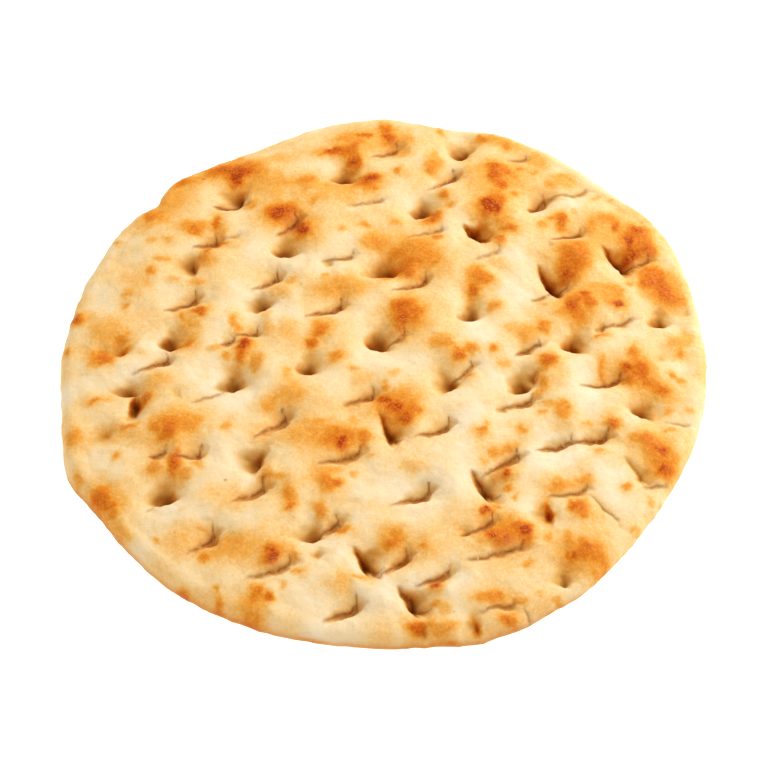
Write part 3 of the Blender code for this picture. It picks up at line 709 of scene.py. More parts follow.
@dataclass
class Oven:
    """The oven, which raises blisters and browns them.

    Args:
        spots: Every browned spot.
        ragged: Unevenness of the crust that moves the spots' edges.
        inner_edge: How far out a spot is at its full strength, in sizes of the spot.
        outer_edge: How far out it ends.
        halo_size: Size of the gold round a spot, in sizes of the spot.
        halo_share: Strength of that gold, as a share of the spot's.
        halo_end: How far out it is still counted, in sizes of the gold.
        gold: How brown the crust is away from its spots.
        gold_grains: The broad and the fine unevenness of that.
        blister: Height of a blister under the darkest spot, in millimetres.
        blister_reach: Size of a blister, in sizes of its spot.
        blister_end: How far out it is still counted, in sizes of the blister.
        blister_size: Size that a spot needs for a blister of full height, in millimetres.
        join_power: How sharply the darker of two spots wins where they meet.
    """

    spots: tuple[Toast, ...]
    ragged: Wobble = Wobble(
        (Grain(11, 2.6, 0.75), Grain(13, 0.9, 0.35)), (Grain(12, 2.4, 0.75), Grain(14, 0.9, 0.35))
    )
    inner_edge: float = 0.4
    outer_edge: float = 1.9
    halo_size: float = 2.5
    halo_share: float = 0.54
    halo_end: float = 2.0
    gold: float = 0.03
    gold_grains: tuple[Grain, Grain] = (Grain(15, 9.0, 0.13), Grain(16, 3.5, 0.07))
    blister: float = 1.7
    blister_reach: float = 1.7
    blister_end: float = 2.5
    blister_size: float = 3.0
    join_power: int = 4

    def gather(
        self,
        x: np.ndarray,
        y: np.ndarray,
        size: float,
        falloff: Callable[[np.ndarray], np.ndarray],
        spots: tuple[Toast, ...],
    ) -> np.ndarray:
        """Adds up a falloff round every spot.

        Args:
            x: Places to the right, in millimetres.
            y: Places away from the viewer, in millimetres.
            size: How many times a spot's size its falloff reaches.
            falloff: Function that turns a distance, in sizes of the spot, into a share.
            spots: The spots to add up.

        Returns:
            The strongest of the falloffs at each place, rounded off where two meet.
        """
        total = np.zeros_like(x)
        for spot in spots:
            reach = size * max(spot.long, spot.wide)
            near = np.flatnonzero((np.abs(x - spot.x) < reach) & (np.abs(y - spot.y) < reach))
            turn = np.radians(spot.turn)
            right, away = x[near] - spot.x, y[near] - spot.y
            along = (np.cos(turn) * right + np.sin(turn) * away) / spot.long
            across = (np.cos(turn) * away - np.sin(turn) * right) / spot.wide
            total[near] += (spot.strength * falloff(np.hypot(along, across))) ** self.join_power
        return total ** (1 / self.join_power)

    def brown_top(self, x: np.ndarray, y: np.ndarray) -> np.ndarray:
        """Browns the top.

        Args:
            x: Places to the right, in millimetres.
            y: Places away from the viewer, in millimetres.

        Returns:
            How brown each place is, from 0 for pale to 1 for the darkest.
        """
        x, y = self.ragged.move(x, y)
        edge = Ease(self.inner_edge, self.outer_edge - self.inner_edge)
        spots = self.gather(x, y, self.outer_edge, lambda out: 1 - edge.at(out), self.spots)
        halo_reach = self.halo_end * self.halo_size
        halos = self.gather(x, y, halo_reach, lambda out: bell(out, self.halo_size), self.spots)
        halos = self.halo_share * halos
        broad, fine = (grain.at(x, y) for grain in self.gold_grains)
        gold = self.gold + broad + fine
        browned = (halos**self.join_power + spots**self.join_power) ** (1 / self.join_power)
        return np.clip(gold * (1 - browned) + browned, 0, 1)

    def raise_blisters(self, x: np.ndarray, y: np.ndarray) -> np.ndarray:
        """Raises the dough under its browned spots.

        Args:
            x: Places to the right, in millimetres.
            y: Places away from the viewer, in millimetres.

        Returns:
            The rise of each place, in millimetres.
        """
        raised = tuple(
            replace(spot, strength=spot.strength * min(1.0, min(spot.long, spot.wide) / self.blister_size))
            for spot in self.spots
        )
        reach = self.blister_end * self.blister_reach
        return self.blister * self.gather(x, y, reach, lambda out: bell(out, self.blister_reach), raised)


@dataclass
class Dough:
    """The disc of dough before docking, in millimetres.

    Args:
        radius: Its radius before its outline is pushed in and out.
        rim_height: Height of its rim.
        rim_round: Rounding of its upper edge.
        foot_round: Rounding of its lower edge.
        crown: How much higher than the rim the middle stands.
        rim_roll: Distance from the edge at which the top starts to rise.
        crown_rise: How gently it rises.
        rim_wave: Unevenness of where it starts.
        pillow: Height of the broad pillows of the top.
        pillow_waves: Lengths of the four waves that they are made of.
        pillow_starts: Where the first two start, in radians.
        lobes: Swells and dents of the outline.
    """

    radius: float = 90.0
    rim_height: float = 8.4
    rim_round: float = 4.3
    foot_round: float = 3.8
    crown: float = 2.8
    rim_roll: float = 5.6
    crown_rise: float = 14.0
    rim_wave: Grain = Grain(38, 9.0, 1.8)
    pillow: float = 0.45
    pillow_waves: tuple[float, float, float, float] = (9.1, 8.3, 13.7, 11.3)
    pillow_starts: tuple[float, float] = (0.6, -0.4)
    lobes: tuple[Lobe, ...] = OUTLINE

    def outline(self, bearing: np.ndarray) -> np.ndarray:
        """Works out the outline.

        Args:
            bearing: Bearings from the middle of the bread, in radians from +X.

        Returns:
            The radius at each of them, in millimetres.
        """
        radius = np.full_like(bearing, self.radius)
        for lobe in self.lobes:
            apart = np.angle(np.exp(1j * (bearing - np.radians(lobe.bearing))))
            radius += lobe.swell * bell(apart, np.radians(lobe.width))
        return radius

    def inset(self, x: np.ndarray, y: np.ndarray) -> np.ndarray:
        """Distance of each place inside the outline, in millimetres."""
        return self.outline(np.arctan2(y, x)) - np.hypot(x, y)

    def undocked_top(self, x: np.ndarray, y: np.ndarray) -> np.ndarray:
        """Works out the height of the top before docking.

        Args:
            x: Places to the right, in millimetres.
            y: Places away from the viewer, in millimetres.

        Returns:
            The height of each place, lower at the rim and softly pillowed.
        """
        inset = self.inset(x, y) + self.rim_wave.at(x, y)
        crown = 1 - np.exp(-np.clip(inset - self.rim_roll, 0, None) / self.crown_rise)
        right, away, rising, falling = self.pillow_waves
        swell = np.sin(x / right + self.pillow_starts[0]) * np.sin(y / away + self.pillow_starts[1])
        swell = swell + np.sin((x + y) / rising) * np.sin((x - y) / falling)
        return self.rim_height + crown * (self.crown + self.pillow * swell)


@dataclass(frozen=True)
class Speckle:
    """Noise of a material.

    Args:
        size: Size of its lumps, in metres.
        detail: How many finer layers of lumps it has.
        roughness: How strong those are.
        share: Strength with which it is added.
    """

    size: float
    detail: float = 2.0
    roughness: float = 0.5
    share: float = 1.0


class Value:
    """A node's output that takes part in Python arithmetic, each step of which adds a Math node."""

    def __init__(self, bench: "Bench", socket: bpy.types.NodeSocket) -> None:
        """Wraps one output socket of a bench's node."""
        self.bench = bench
        self.socket = socket

    def maths(
        self, operation: str, left: "Value | float", right: "Value | float", clamp: bool = False
    ) -> "Value":
        """Adds one Math node.

        Args:
            operation: Blender's name of the operation.
            left: Its first value.
            right: Its second value.
            clamp: Whether the result is kept between 0 and 1.

        Returns:
            The result.
        """
        settings = {"operation": operation, "use_clamp": clamp}
        return self.bench.add("ShaderNodeMath", settings, {0: left, 1: right})

    def __add__(self, other: "Value | float") -> "Value":
        """Sum."""
        return self.maths("ADD", self, other)

    def __sub__(self, other: "Value | float") -> "Value":
        """Difference."""
        return self.maths("SUBTRACT", self, other)

    def __rsub__(self, other: "Value | float") -> "Value":
        """Difference from a number."""
        return self.maths("SUBTRACT", other, self)

    def __mul__(self, other: "Value | float") -> "Value":
        """Product."""
        return self.maths("MULTIPLY", self, other)

    def clamped(self) -> "Value":
        """The value kept between 0 and 1."""
        return self.maths("ADD", self, 0.0, clamp=True)

    __rmul__ = __mul__


# What a socket can be fed with.
Fed = Value | float | tuple[float, ...]


class Bench:
    """Adds the nodes of one material."""

    MIX_FACTOR, MIX_FROM, MIX_TO, MIX_RESULT = 0, 6, 7, 2

    def __init__(self, name: str) -> None:
        """Starts a material of that name, with its Principled shader."""
        self.material = bpy.data.materials.new(name)
        self.material.use_nodes = True
        self.nodes = self.material.node_tree.nodes
        self.shader = self.nodes["Principled BSDF"]

    def feed(self, socket: bpy.types.NodeSocket, value: Fed) -> None:
        """Links a value to a socket, or sets the socket to it where it is a plain number or colour."""
        if isinstance(value, Value):
            self.material.node_tree.links.new(value.socket, socket)
        else:
            socket.default_value = value

    def dress(self, values: dict[str, Fed]) -> None:
        """Feeds the Principled shader's sockets, by their names."""
        for name, value in values.items():
            self.feed(self.shader.inputs[name], value)

    def add(
        self, kind: str, settings: dict[str, object], values: dict[int | str, Fed], output: int | str = 0
    ) -> Value:
        """Adds one node.

        Args:
            kind: Blender's type of the node.
            settings: Its settings by name. "stops" holds a ramp's places and colours.
            values: Values or links of its sockets, by their names or numbers.
            output: Name or number of the output to give back.

        Returns:
            That output.
        """
        node = self.nodes.new(kind)
        for name, setting in settings.items():
            if name == "stops":
                self.set_ramp(node.color_ramp, setting)
            else:
                setattr(node, name, setting)
        for socket, value in values.items():
            self.feed(node.inputs[socket], value)
        return Value(self, node.outputs[output])

    def set_ramp(self, ramp: bpy.types.ColorRamp, stops: Iterable[tuple[float, tuple]]) -> None:
        """Gives a ramp its stops.

        Args:
            ramp: The ramp.
            stops: Each stop's place and colour, in rising order.
        """
        first, *others = stops
        while len(ramp.elements) > 1:
            ramp.elements.remove(ramp.elements[-1])
        ramp.elements[0].position, ramp.elements[0].color = first
        for place, colour in others:
            ramp.elements.new(place).color = colour

    def mix(self, factor: Value, start: Fed, end: Fed, blend: str = "MIX") -> Value:
        """Mixes two colours.

        Args:
            factor: How much of the second colour shows.
            start: The first colour.
            end: The second colour.
            blend: Blender's name of the way of mixing.

        Returns:
            The mixed colour.
        """
        settings = {"data_type": "RGBA", "blend_type": blend}
        values = {self.MIX_FACTOR: factor, self.MIX_FROM: start, self.MIX_TO: end}
        return self.add("ShaderNodeMix", settings, values, self.MIX_RESULT)

    def noise(self, speckle: Speckle) -> Value:
        """Noise from 0 to 1, about its middle of 0.5."""
        sizes = {"Scale": 1 / speckle.size, "Detail": speckle.detail, "Roughness": speckle.roughness}
        return self.add("ShaderNodeTexNoise", {}, {"Vector": self.place(), **sizes})

    def unevenness(self, speckle: Speckle) -> Value:
        """Noise about 0, in its strength."""
        return (self.noise(speckle) - 0.5) * speckle.share

    def place(self) -> Value:
        """Place on the piece, in metres."""
        return self.add("ShaderNodeTexCoord", {}, {}, "Object")

    def painted(self, name: str) -> Value:
        """The number that the mesh holds for each of its points under a name."""
        return self.add("ShaderNodeAttribute", {"attribute_name": name}, {}, "Fac")

    def between(self, value: Value, low: float, high: float) -> Value:
        """Share of the way from low to high, kept between 0 and 1 and eased at both ends."""
        values = {"Value": value, "From Min": low, "From Max": high}
        return self.add("ShaderNodeMapRange", {"interpolation_type": "SMOOTHSTEP"}, values)


def tone(red: int, green: int, blue: int, share: float = 1.0) -> tuple[float, float, float, float]:
    """Turns a display colour of 0 to 255 into a shader colour.

    Args:
        red: Red.
        green: Green.
        blue: Blue.
        share: How much of it the surface gives back.

    Returns:
        Linear red, green, blue and alpha.
    """
    shown = np.array([red, green, blue]) / 255
    linear = np.where(shown > 0.04045, ((shown + 0.055) / 1.055) ** 2.4, shown / 12.92)
    return (*(float(part) * share for part in linear), 1.0)


@dataclass(frozen=True)
class Tint:
    """A painted shade: a colour that darkens the crust where one painted value is high.

    Args:
        value: Name of the painted value.
        colour: Shader colour that the crust's own is multiplied by.
        share: How much of that shows where the value is full.
        edge: Values between which it sets in, or None where it follows the value itself.
    """

    value: str
    colour: tuple[float, float, float, float]
    share: float = 1.0
    edge: tuple[float, float] | None = None


@dataclass(frozen=True)
class CrustFinish:
    """Baked crust: pale cream dough that browns through gold and orange to dark toast.

    Lengths are in metres, and colours of three whole numbers are display colours. A share says how much
    of a colour shows, and an edge gives the two values between which it sets in. What is named pale
    counts on all of the crust, and what is named toasted is added on the darkest toast.
    """

    # The surface, and how light goes into the dough and comes out again.
    given_back: float = 0.86
    roughness: float = 0.62
    toasted_gloss: float = 0.14
    highlight: float = 0.1
    soft_glow: float = 0.12
    glow_radius: tuple[float, float, float] = (0.0016, 0.0009, 0.0004)
    # Relief of the crust, and of the pale specks on it.
    bump_depth: float = 0.00024
    relief: Speckle = Speckle(0.0026, 4.0, 0.62)
    fine_relief: Speckle = Speckle(0.0006, 3.0, 0.6, 0.3)
    flour_and_glints_relief: float = 0.25
    # Steps of browning from 0 to 1, each with its display colour, and their unevenness.
    toasts: tuple[tuple[float, int, int, int], ...] = (
        (0.0, 253, 237, 207),
        (0.2, 251, 216, 156),
        (0.4, 247, 184, 90),
        (0.58, 239, 156, 50),
        (0.74, 228, 130, 26),
        (0.86, 220, 112, 18),
        (0.95, 205, 92, 13),
        (1.0, 178, 66, 11),
    )
    mottle: Speckle = Speckle(0.002, 3.0, 0.6, 0.5)
    grain: Speckle = Speckle(0.0008, 2.0, 0.6, 0.95)
    toasted_uneven: float = 0.8
    pale_uneven: float = 0.1
    # Pale floors of the slots, a painted highlight on crests, and the painted shade that darkens the crust,
    # in order.
    unbaked: tuple[int, int, int] = (250, 208, 162)
    unbaked_share: float = 0.4
    crest: tuple[int, int, int] = (255, 236, 206)
    crest_share: float = 0.15
    tints: tuple[Tint, ...] = (
        Tint("shade", (1.0, 0.87, 0.48, 1.0), 0.75, (0.0, 0.3)),
        Tint("shade", (0.6, 0.37, 0.1, 1.0)),
        Tint("hollow_shade", (0.53, 0.35, 0.07, 1.0), 0.88, (0.05, 0.65)),
        Tint("steep_shade", (0.9, 0.5, 0.06, 1.0), 0.9),
        Tint("foot", (0.64, 0.45, 0.3, 1.0), 0.9),
        Tint("crease", (0.36, 0.15, 0.02, 1.0), 0.95),
    )
    # Pale specks, a dusting on pale crust and painted glints on toast, and dark pores, where a noise has its
    # peaks.
    flour_and_glints: Speckle = Speckle(0.0008, 2.0, 0.7)
    flour_and_glints_edge: tuple[float, float] = (0.62, 0.74)
    flour_and_glints_colour: tuple[int, int, int] = (255, 208, 98)
    toasted_glints: float = 0.35
    pale_flour_and_glints: float = 0.25
    pores: Speckle = Speckle(0.0022, 1.0, 0.4)
    pore_edge: tuple[float, float] = (0.8, 0.86)
    pore_colour: tuple[float, float, float, float] = (0.5, 0.36, 0.2, 1.0)
    pore_share: float = 0.6
    # The underside, browned in blotches by the baking plate: which way it faces, and how far out it is.
    plate_facing: tuple[float, float] = (0.3, 0.6)
    plate_edge: tuple[float, float] = (0.064, 0.086)
    plate_blotches: tuple[Speckle, Speckle] = (Speckle(0.024, 3.0, 0.6, 2.6), Speckle(0.007, share=1.2))
    plate_toast: float = 0.26

    def browning(self, bench: Bench) -> Value:
        """Works out how brown the crust is.

        Args:
            bench: What adds the material's nodes.

        Returns:
            The painted browning, with blotches where the baking plate touched the crust.
        """
        broad, fine = (bench.unevenness(speckle) for speckle in self.plate_blotches)
        out = bench.add("ShaderNodeVectorMath", {"operation": "LENGTH"}, {"Vector": bench.place()}, "Value")
        inside = 1.0 - bench.between(out, *self.plate_edge)
        touched = bench.between(bench.painted("under"), *self.plate_facing) * inside
        return bench.painted("toast") + touched * (broad + fine + self.plate_toast).clamped()

    def colour(self, bench: Bench, toast: Value, flour_and_glints: Value) -> Value:
        """Mixes the crust's colour.

        Args:
            bench: What adds the material's nodes.
            toast: How brown the crust is.
            flour_and_glints: Share of pale specks on it: a dusting, with painted glints on toast.

        Returns:
            The colour.
        """
        specks = bench.unevenness(self.mottle) + bench.unevenness(self.grain)
        uneven = toast + specks * (toast * self.toasted_uneven + self.pale_uneven)
        stops = [(place, tone(*shown, share=self.given_back)) for place, *shown in self.toasts]
        colour = bench.add("ShaderNodeValToRGB", {"stops": stops}, {"Fac": uneven.clamped()})
        unbaked = bench.painted("wall") * self.unbaked_share
        colour = bench.mix(unbaked, colour, tone(*self.unbaked, share=self.given_back))
        # Painted highlight: crests turn paler where they are not toasted.
        crest = bench.painted("crest") * (1 - toast) * self.crest_share
        colour = bench.mix(crest, colour, tone(*self.crest, share=self.given_back))
        # Painted shade, laid on tint by tint.
        for tint in self.tints:
            amount = bench.painted(tint.value)
            amount = bench.between(amount, *tint.edge) if tint.edge else amount
            colour = bench.mix(amount * tint.share, colour, tint.colour, "MULTIPLY")
        # Pale specks: a dusting on all the crust, and painted glints added on toast.
        specks_shown = flour_and_glints * (toast * self.toasted_glints + self.pale_flour_and_glints)
        colour = bench.mix(specks_shown, colour, tone(*self.flour_and_glints_colour, share=self.given_back))
        pore = bench.between(bench.noise(self.pores), *self.pore_edge)
        return bench.mix(pore * self.pore_share, colour, self.pore_colour, "MULTIPLY")

    def material(self) -> bpy.types.Material:
        """Makes the crust.

        Returns:
            A material that reads the bread's painted values.
        """
        bench = Bench("crust")
        toast = self.browning(bench)
        flour_and_glints = bench.between(bench.noise(self.flour_and_glints), *self.flour_and_glints_edge)
        relief = bench.noise(self.relief) + self.fine_relief.share * bench.noise(self.fine_relief)
        height = {"Distance": self.bump_depth, "Height": relief + self.flour_and_glints_relief * flour_and_glints}
        bench.dress({
            "Base Color": self.colour(bench, toast, flour_and_glints),
            "Roughness": self.roughness - toast * self.toasted_gloss,
            "Normal": bench.add("ShaderNodeBump", {}, height, "Normal"),
            "Subsurface Weight": self.soft_glow,
            "Subsurface Radius": self.glow_radius,
            "Subsurface Scale": 1.0,
            "Specular IOR Level": self.highlight,
        })
        return bench.material


@dataclass(frozen=True)
class Brushes:
    """Where each value that the crust reads sets in on the bread.

    The rises over a direction are read at the upward, downward or viewer's share of the surface's
    direction, and ramp_lit at the share of a slot's depth. The others are read at a place's distance
    inside the outline, or below the dough round it, in millimetres.
    """

    # Directions.
    facing_up: Ease = Ease(0.1, 0.5)
    facing_down: Ease = Ease(0.5, 0.4)
    flat: Ease = Ease(0.35, 0.5)
    viewer: tuple[float, float] = (-0.35, -0.94)
    near_side: Ease = Ease(0.3, 0.5)
    # Painted shade on the foot of the rim, on the viewer's side.
    foot: Ease = Ease(-0.75, 0.8)
    foot_reach: float = 6.0
    # Browning of the rim, of the top's edge and of the underside, and the paler floors of the slots.
    rim: Ease = Ease(0.0, 5.0)
    rim_top: Ease = Ease(-0.1, 0.5)
    rim_toast: float = 0.32
    rim_grain: Grain = Grain(17, 6.0, 0.2)
    edge: Ease = Ease(0.0, 13.0)
    edge_toast: float = 0.15
    edge_grain: Grain = Grain(18, 8.0, 0.2)
    under_toast: float = 0.12
    ramp_pale: float = 0.5
    # Painted shade in low places: how far round a place the dough counts, how deep it is and how strong.
    broad_softness: float = 3.2
    broad_depth: float = 2.4
    broad_shade: float = 0.6
    fine_softness: float = 1.0
    fine_depth: Ease = Ease(0.0, 0.9)
    fine_shade: float = 0.15
    # Where the painted highlight on crests sets in.
    crest: Ease = Ease(0.0, 0.35)
    shaded: Ease = Ease(0.0, 9.0)
    rim_shade: float = 0.3
    # Painted shade on steeper walls, which counts less where a slot's floor is lit.
    steep_shade_inset: float = 4.0
    ramp_lit: Ease = Ease(0.0, 0.3)
    ramp_light: float = 0.6


@dataclass
class Bread:
    """The one bread: dough, docked, baked and browned.

    Args:
        dough: The disc before docking.
        docker: What pressed it.
        oven: What browned it.
        crust: Its finish.
        brushes: Where each value that the finish reads sets in.
        sides: Sides of the disc before it is cut finely.
        bevels: Steps of the rounding at its rim and its foot.
        relief: Unevenness of the baked top, from broad to fine, in millimetres.
        dents: Broad and fine unevenness of the outline.
        dent_share: Depth of the outline's dents, as a share of its radius.
        fineness: Size of the mesh's squares before it is thinned, in millimetres.
        most_triangles: Triangles that it may keep.
        grid_reach: Half the side of the square on which it looks for hollows, in millimetres.
        grid_step: Distance between that square's points, in millimetres.
        fit: How much of the CAD solid's box it fills at most.
    """

    dough: Dough = field(default_factory=Dough)
    docker: Docker = field(default_factory=lambda: Docker(dock_marks()))
    oven: Oven = field(default_factory=lambda: Oven(tuple(Toast(*row) for row in TOAST_ROWS)))
    crust: CrustFinish = field(default_factory=CrustFinish)
    brushes: Brushes = field(default_factory=Brushes)
    sides: int = 160
    bevels: int = 8
    relief: tuple[Grain, ...] = (
        Grain(36, 8.5, 0.3), Grain(33, 4.6, 0.26), Grain(34, 1.9, 0.12), Grain(35, 0.9, 0.05)
    )
    dents: tuple[Grain, Grain] = (Grain(31, 7.0), Grain(32, 2.5, 0.5))
    dent_share: float = 0.004
    fineness: float = 0.42
    most_triangles: int = 196_000
    grid_reach: float = 100.0
    grid_step: float = 0.4
    fit: float = 0.9995

    def add_disc(self) -> bpy.types.Object:
        """Adds the plain disc of dough and rounds its rim and its foot.

        Returns:
            The disc.
        """
        bpy.ops.object.select_all(action="DESELECT")
        bpy.ops.mesh.primitive_cylinder_add(
            vertices=self.sides,
            radius=self.dough.radius * MM,
            depth=self.dough.rim_height * MM,
            location=(0, 0, self.dough.rim_height * MM / 2),
        )
        disc = bpy.context.object
        disc.name = "docked_bread"
        bpy.ops.object.transform_apply(location=True, rotation=False, scale=False)
        for height, size in ((self.dough.rim_height, self.dough.rim_round), (0.0, self.dough.foot_round)):
            self.round_ring(disc, height, size)
        return disc

    def round_ring(self, disc: bpy.types.Object, height: float, size: float) -> None:
        """Bevels the ring of edges at one height.

        Args:
            disc: The disc.
            height: Height of the ring, in millimetres.
            size: Size of the rounding, in millimetres.
        """
        bpy.ops.object.mode_set(mode="EDIT")
        bpy.ops.mesh.select_all(action="DESELECT")
        bpy.ops.object.mode_set(mode="OBJECT")
        verts = disc.data.vertices
        for edge in disc.data.edges:
            edge.select = all(abs(verts[at].co.z - height * MM) < SPECK * MM for at in edge.vertices)
        bpy.ops.object.mode_set(mode="EDIT")
        bpy.ops.mesh.select_mode(type="EDGE")
        bpy.ops.mesh.bevel(offset=size * MM, segments=self.bevels, profile=0.5)
        bpy.ops.object.mode_set(mode="OBJECT")

    def apply(self, piece: bpy.types.Object, kind: str, **settings: str | float | bool) -> None:
        """Adds a modifier to a piece and applies it.

        Args:
            piece: The piece.
            kind: Blender's type of the modifier.
            settings: Its settings by name.
        """
        modifier = piece.modifiers.new(kind.lower(), kind)
        for name, setting in settings.items():
            setattr(modifier, name, setting)
        bpy.ops.object.modifier_apply(modifier=modifier.name)

    def places(self, piece: bpy.types.Object) -> np.ndarray:
        """Reads where a piece's points are.

        Args:
            piece: The piece.

        Returns:
            Their places, one row each, in millimetres.
        """
        flat = np.empty(len(piece.data.vertices) * 3, np.float32)
        piece.data.vertices.foreach_get("co", flat)
        return flat.reshape(-1, 3).astype(float) / MM

    def move_to(self, piece: bpy.types.Object, places: np.ndarray) -> None:
        """Moves a piece's points to new places, given in millimetres."""
        piece.data.vertices.foreach_set("co", (places * MM).astype(np.float32).ravel())
        piece.data.update()

    def top(self, x: np.ndarray, y: np.ndarray) -> np.ndarray:
        """Works out the docked and baked top.

        Args:
            x: Places to the right, in millimetres.
            y: Places away from the viewer, in millimetres.

        Returns:
            The height of each place, in millimetres.
        """
        height = self.dough.undocked_top(x, y) - self.docker.press(x, y)["depth"]
        height += self.oven.raise_blisters(x, y)
        for grain in self.relief:
            height += grain.at(x, y)
        return height

    def sunk(self, x: np.ndarray, y: np.ndarray, softness: float) -> np.ndarray:
        """Works out how far places lie below the dough round them.

        Args:
            x: Places to the right, in millimetres.
            y: Places away from the viewer, in millimetres.
            softness: How far round each place the dough counts, in millimetres.

        Returns:
            The depth of each place below its surroundings, in millimetres, and less than 0 on a crest.
        """
        line = np.arange(-self.grid_reach, self.grid_reach, self.grid_step)
        top = self.top(*(part.ravel() for part in np.meshgrid(line, line))).reshape(len(line), len(line))
        waves = np.fft.fftfreq(len(line), self.grid_step)
        blur = np.exp(-2 * (np.pi * softness) ** 2 * (waves[:, None] ** 2 + waves[None, :] ** 2))
        depth = np.fft.ifft2(np.fft.fft2(top) * blur).real - top
        column, row = (x + self.grid_reach) / self.grid_step, (y + self.grid_reach) / self.grid_step
        left, under = column.astype(int), row.astype(int)
        across, up = column - left, row - under
        low = depth[under, left] * (1 - across) + depth[under, left + 1] * across
        high = depth[under + 1, left] * (1 - across) + depth[under + 1, left + 1] * across
        return low * (1 - up) + high * up

    def shape(self, disc: bpy.types.Object) -> None:
        """Pushes the disc to its outline, docks it and raises its blisters.

        Args:
            disc: The finely cut disc.
        """
        x, y, z = self.places(disc).T
        reach = self.dough.outline(np.arctan2(y, x)) / self.dough.radius
        broad, fine = (grain.at(x, y) for grain in self.dents)
        reach -= self.dent_share * np.abs(broad + fine)
        x, y = self.docker.crowd(x * reach, y * reach)
        self.move_to(disc, np.stack([x, y, z / self.dough.rim_height * self.top(x, y)], axis=1))

    def fit_to_frame(self, disc: bpy.types.Object) -> None:
        """Puts the bread over the middle of its CAD solid and keeps it inside that solid's box.

        Args:
            disc: The bread.
        """
        low, high = (np.array(corner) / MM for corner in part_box("bread"))
        places = self.places(disc)
        own_low, own_high = places.min(axis=0), places.max(axis=0)
        middle, own_middle = (low + high) / 2, (own_low + own_high) / 2
        share = np.minimum(1, (high - low) / (own_high - own_low) * self.fit)
        log.info("own size %s mm, share kept %s", np.round(own_high - own_low, 2), np.round(share, 4))
        places[:, :2] = (places[:, :2] - own_middle[:2]) * share[:2] + middle[:2]
        places[:, 2] = (places[:, 2] - own_low[2]) * share[2]
        self.move_to(disc, places)

    def paint(self, disc: bpy.types.Object) -> None:
        """Gives each point of the bread the values that its crust reads.

        Args:
            disc: The bread.
        """
        x, y = self.places(disc).T[:2]
        flat = np.empty(len(x) * 3, np.float32)
        disc.data.vertex_normals.foreach_get("vector", flat)
        right, away, up = flat.reshape(-1, 3).astype(float).T
        brush, pressed, inset = self.brushes, self.docker.press(x, y), self.dough.inset(x, y)
        facing_down = brush.facing_down.at(-up)
        seen = 1 - facing_down
        rim = (1 - brush.rim.at(inset)) * (1 - brush.rim_top.at(up))
        toast = self.oven.brown_top(x, y) * (1 - brush.ramp_pale * pressed["ramp"])
        toast = np.maximum(toast, rim * (brush.rim_toast + brush.rim_grain.at(x, y)))
        edge = (1 - brush.edge.at(inset)) * (brush.edge_toast + brush.edge_grain.at(x, y))
        # Painted shade on the rim's foot where it faces the viewer.
        near_side = brush.near_side.at(brush.viewer[0] * right + brush.viewer[1] * away)
        # Painted shade in low places, from how far each lies below the dough round it.
        broad, fine = self.sunk(x, y, brush.broad_softness), self.sunk(x, y, brush.fine_softness)
        shade = brush.broad_shade * np.clip(broad / brush.broad_depth, 0, 1)
        shade = shade + brush.fine_shade * brush.fine_depth.at(fine)
        lit = 1 - brush.ramp_light * brush.ramp_lit.at(pressed["ramp"])
        # Besides browning, these hold painted shade in low places, in pits, on the rim's foot, in the slots'
        # lines and on steeper walls, and a painted highlight on crests.
        shown = {
            "toast": np.maximum(toast, edge) * seen + brush.under_toast * facing_down,
            "shade": shade * (brush.rim_shade + (1 - brush.rim_shade) * brush.shaded.at(inset)) * seen,
            "under": facing_down,
            "foot": near_side * brush.foot.at(-up) * (inset < brush.foot_reach) * seen,
            "crest": brush.crest.at(-fine) * brush.facing_up.at(up),
            "hollow_shade": pressed["hollow_shade"] * seen,
            "crease": pressed["crease"] * seen,
            "wall": pressed["ramp"] * seen,
            "steep_shade": (1 - brush.flat.at(up)) * (inset > brush.steep_shade_inset) * seen * lit,
        }
        for name, values in shown.items():
            painted = disc.data.attributes.new(name, "FLOAT", "POINT")
            painted.data.foreach_set("value", values.astype(np.float32))

    def bake(self) -> bpy.types.Object:
        """Makes the whole bread.

        Returns:
            The finished piece.
        """
        disc = self.add_disc()
        self.apply(disc, "REMESH", mode="VOXEL", voxel_size=self.fineness * MM)
        self.shape(disc)
        triangles = sum(len(face.vertices) - 2 for face in disc.data.polygons)
        self.apply(disc, "DECIMATE", ratio=self.most_triangles / triangles, use_collapse_triangulate=True)
        self.fit_to_frame(disc)
        self.paint(disc)
        disc.data.shade_smooth()
        disc.data.materials.clear()
        disc.data.materials.append(self.crust.material())
        log.info("%s: %d triangles", disc.name, len(disc.data.polygons))
        return disc


def dock_marks() -> tuple[Mark, ...]:
    """Every mark of the docker, slots first."""
    slots = tuple(Mark(*row, pin=Pin.BLADE) for row in BLADE_ROWS)
    return slots + tuple(Mark(*row, pin=Pin.BLUNT) for row in BLUNT_ROWS)


@dataclass(frozen=True)
class Lamp:
    """One soft lamp.

    Args:
        name: Its name.
        place: Where it hangs, in metres.
        size: Side of its square, in metres.
        power: Its power, in watts.
        colour: Its colour.
    """

    name: str
    place: tuple[float, float, float]
    size: float
    power: float
    colour: tuple[float, float, float] = (1.0, 1.0, 1.0)


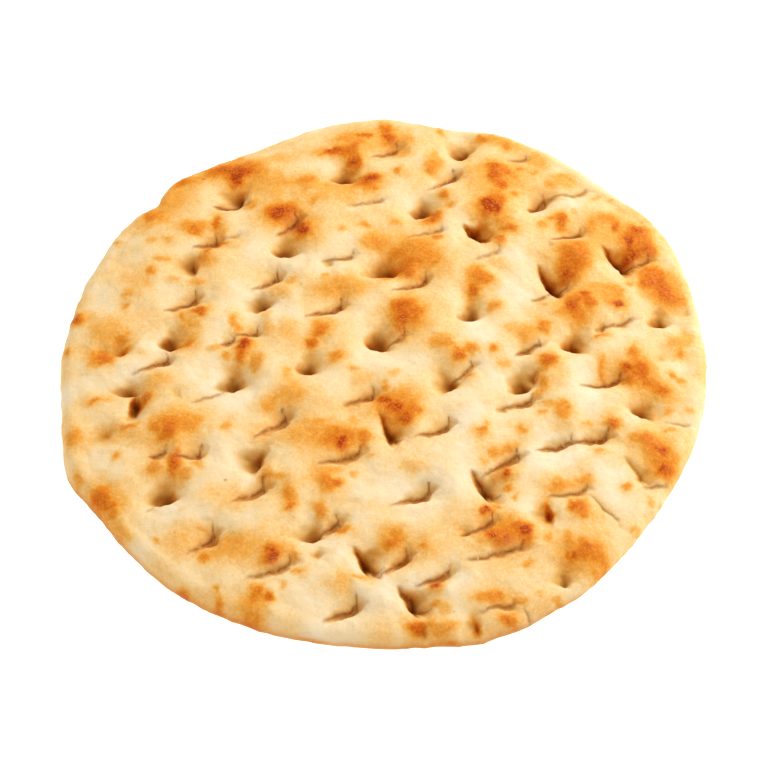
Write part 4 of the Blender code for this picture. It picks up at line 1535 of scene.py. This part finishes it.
@dataclass
class Studio:
    """A white table under soft lamps, and the camera that looks down on it.

    Args:
        target: Point that the camera looks at, in metres.
        distance: Distance of the camera from it, in metres.
        elevation: Angle at which the camera looks down, in degrees.
        lens: Its focal length, in millimetres.
        sensor: Width of its sensor, in millimetres.
        table_side: Side of the table, in metres.
        table_colour: Shader colour of the table.
        table_roughness: Its roughness.
        table_glow: How brightly it glows, so that it comes out white.
        sky: Brightness of the room round it.
        sky_colour: Colour of the room.
        lamps: The lamps.
    """

    target: tuple[float, float, float] = (0.0, -0.01017, 0.005)
    distance: float = 0.48
    elevation: float = 54.0
    lens: float = 81.75
    sensor: float = 36.0
    table_side: float = 6.0
    table_colour: tuple[float, float, float, float] = (0.85, 0.85, 0.85, 1.0)
    table_roughness: float = 0.9
    table_glow: float = 0.75
    sky: float = 0.6
    sky_colour: tuple[float, float, float] = (1.0, 0.915, 0.76)
    lamps: tuple[Lamp, ...] = (
        Lamp("key", (0.55, 0.36, 0.50), 0.5, 5.65, (1.0, 0.985, 0.95)),
        Lamp("overhead", (0.05, 0.45, 0.9), 1.0, 1.6, (1.0, 0.97, 0.9)),
        Lamp("fill", (-0.5, -0.55, 0.7), 0.9, 1.7, (1.0, 0.92, 0.78)),
    )

    def lay_table(self) -> bpy.types.Object:
        """Lays the pale table that the bread rests on.

        Returns:
            The table.
        """
        bpy.ops.object.select_all(action="DESELECT")
        bpy.ops.mesh.primitive_plane_add(size=self.table_side, location=(0, 0, 0))
        table = bpy.context.object
        table.name = "table"
        bench = Bench("white_table")
        bench.dress({
            "Base Color": self.table_colour,
            "Roughness": self.table_roughness,
            "Emission Color": (1.0, 1.0, 1.0, 1.0),
            "Emission Strength": self.table_glow,
        })
        table.data.materials.append(bench.material)
        return table

    def aim(self, thing: bpy.types.Object, target: Vector) -> None:
        """Turns a camera or lamp to look at a point."""
        thing.rotation_euler = (target - thing.location).to_track_quat("-Z", "Y").to_euler()

    def hang_lamps(self) -> None:
        """Hangs the lamps and lights the white room round them."""
        for lamp in self.lamps:
            light = bpy.data.lights.new(lamp.name, "AREA")
            light.size, light.energy, light.color = lamp.size, lamp.power, lamp.colour
            hung = bpy.data.objects.new(lamp.name, light)
            hung.location = lamp.place
            bpy.context.scene.collection.objects.link(hung)
            self.aim(hung, Vector((0, 0, 0)))
        world = bpy.data.worlds.new("white_room")
        world.use_nodes = True
        world.node_tree.nodes["Background"].inputs["Color"].default_value = (*self.sky_colour, 1.0)
        world.node_tree.nodes["Background"].inputs["Strength"].default_value = self.sky
        bpy.context.scene.world = world

    def set_camera(self) -> None:
        """Sets the camera at its distance and angle."""
        camera = bpy.data.objects.new("camera", bpy.data.cameras.new("camera"))
        camera.data.lens, camera.data.sensor_width = self.lens, self.sensor
        tilt = np.radians(self.elevation)
        target = Vector(self.target)
        camera.location = target + self.distance * Vector((0, -np.cos(tilt), np.sin(tilt)))
        bpy.context.scene.collection.objects.link(camera)
        self.aim(camera, target)
        bpy.context.scene.camera = camera
        bpy.context.scene.view_settings.view_transform = "Standard"


def main() -> None:
    """Builds the studio and the bread."""
    logging.basicConfig(level=logging.INFO, format="%(name)s: %(message)s")
    studio = Studio()
    studio.set_camera()
    studio.hang_lamps()
    log.info("%s laid", studio.lay_table().name)
    bread = Bread().bake()
    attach(bread, "root")
    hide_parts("bread")


if __name__ == "__main__":
    main()
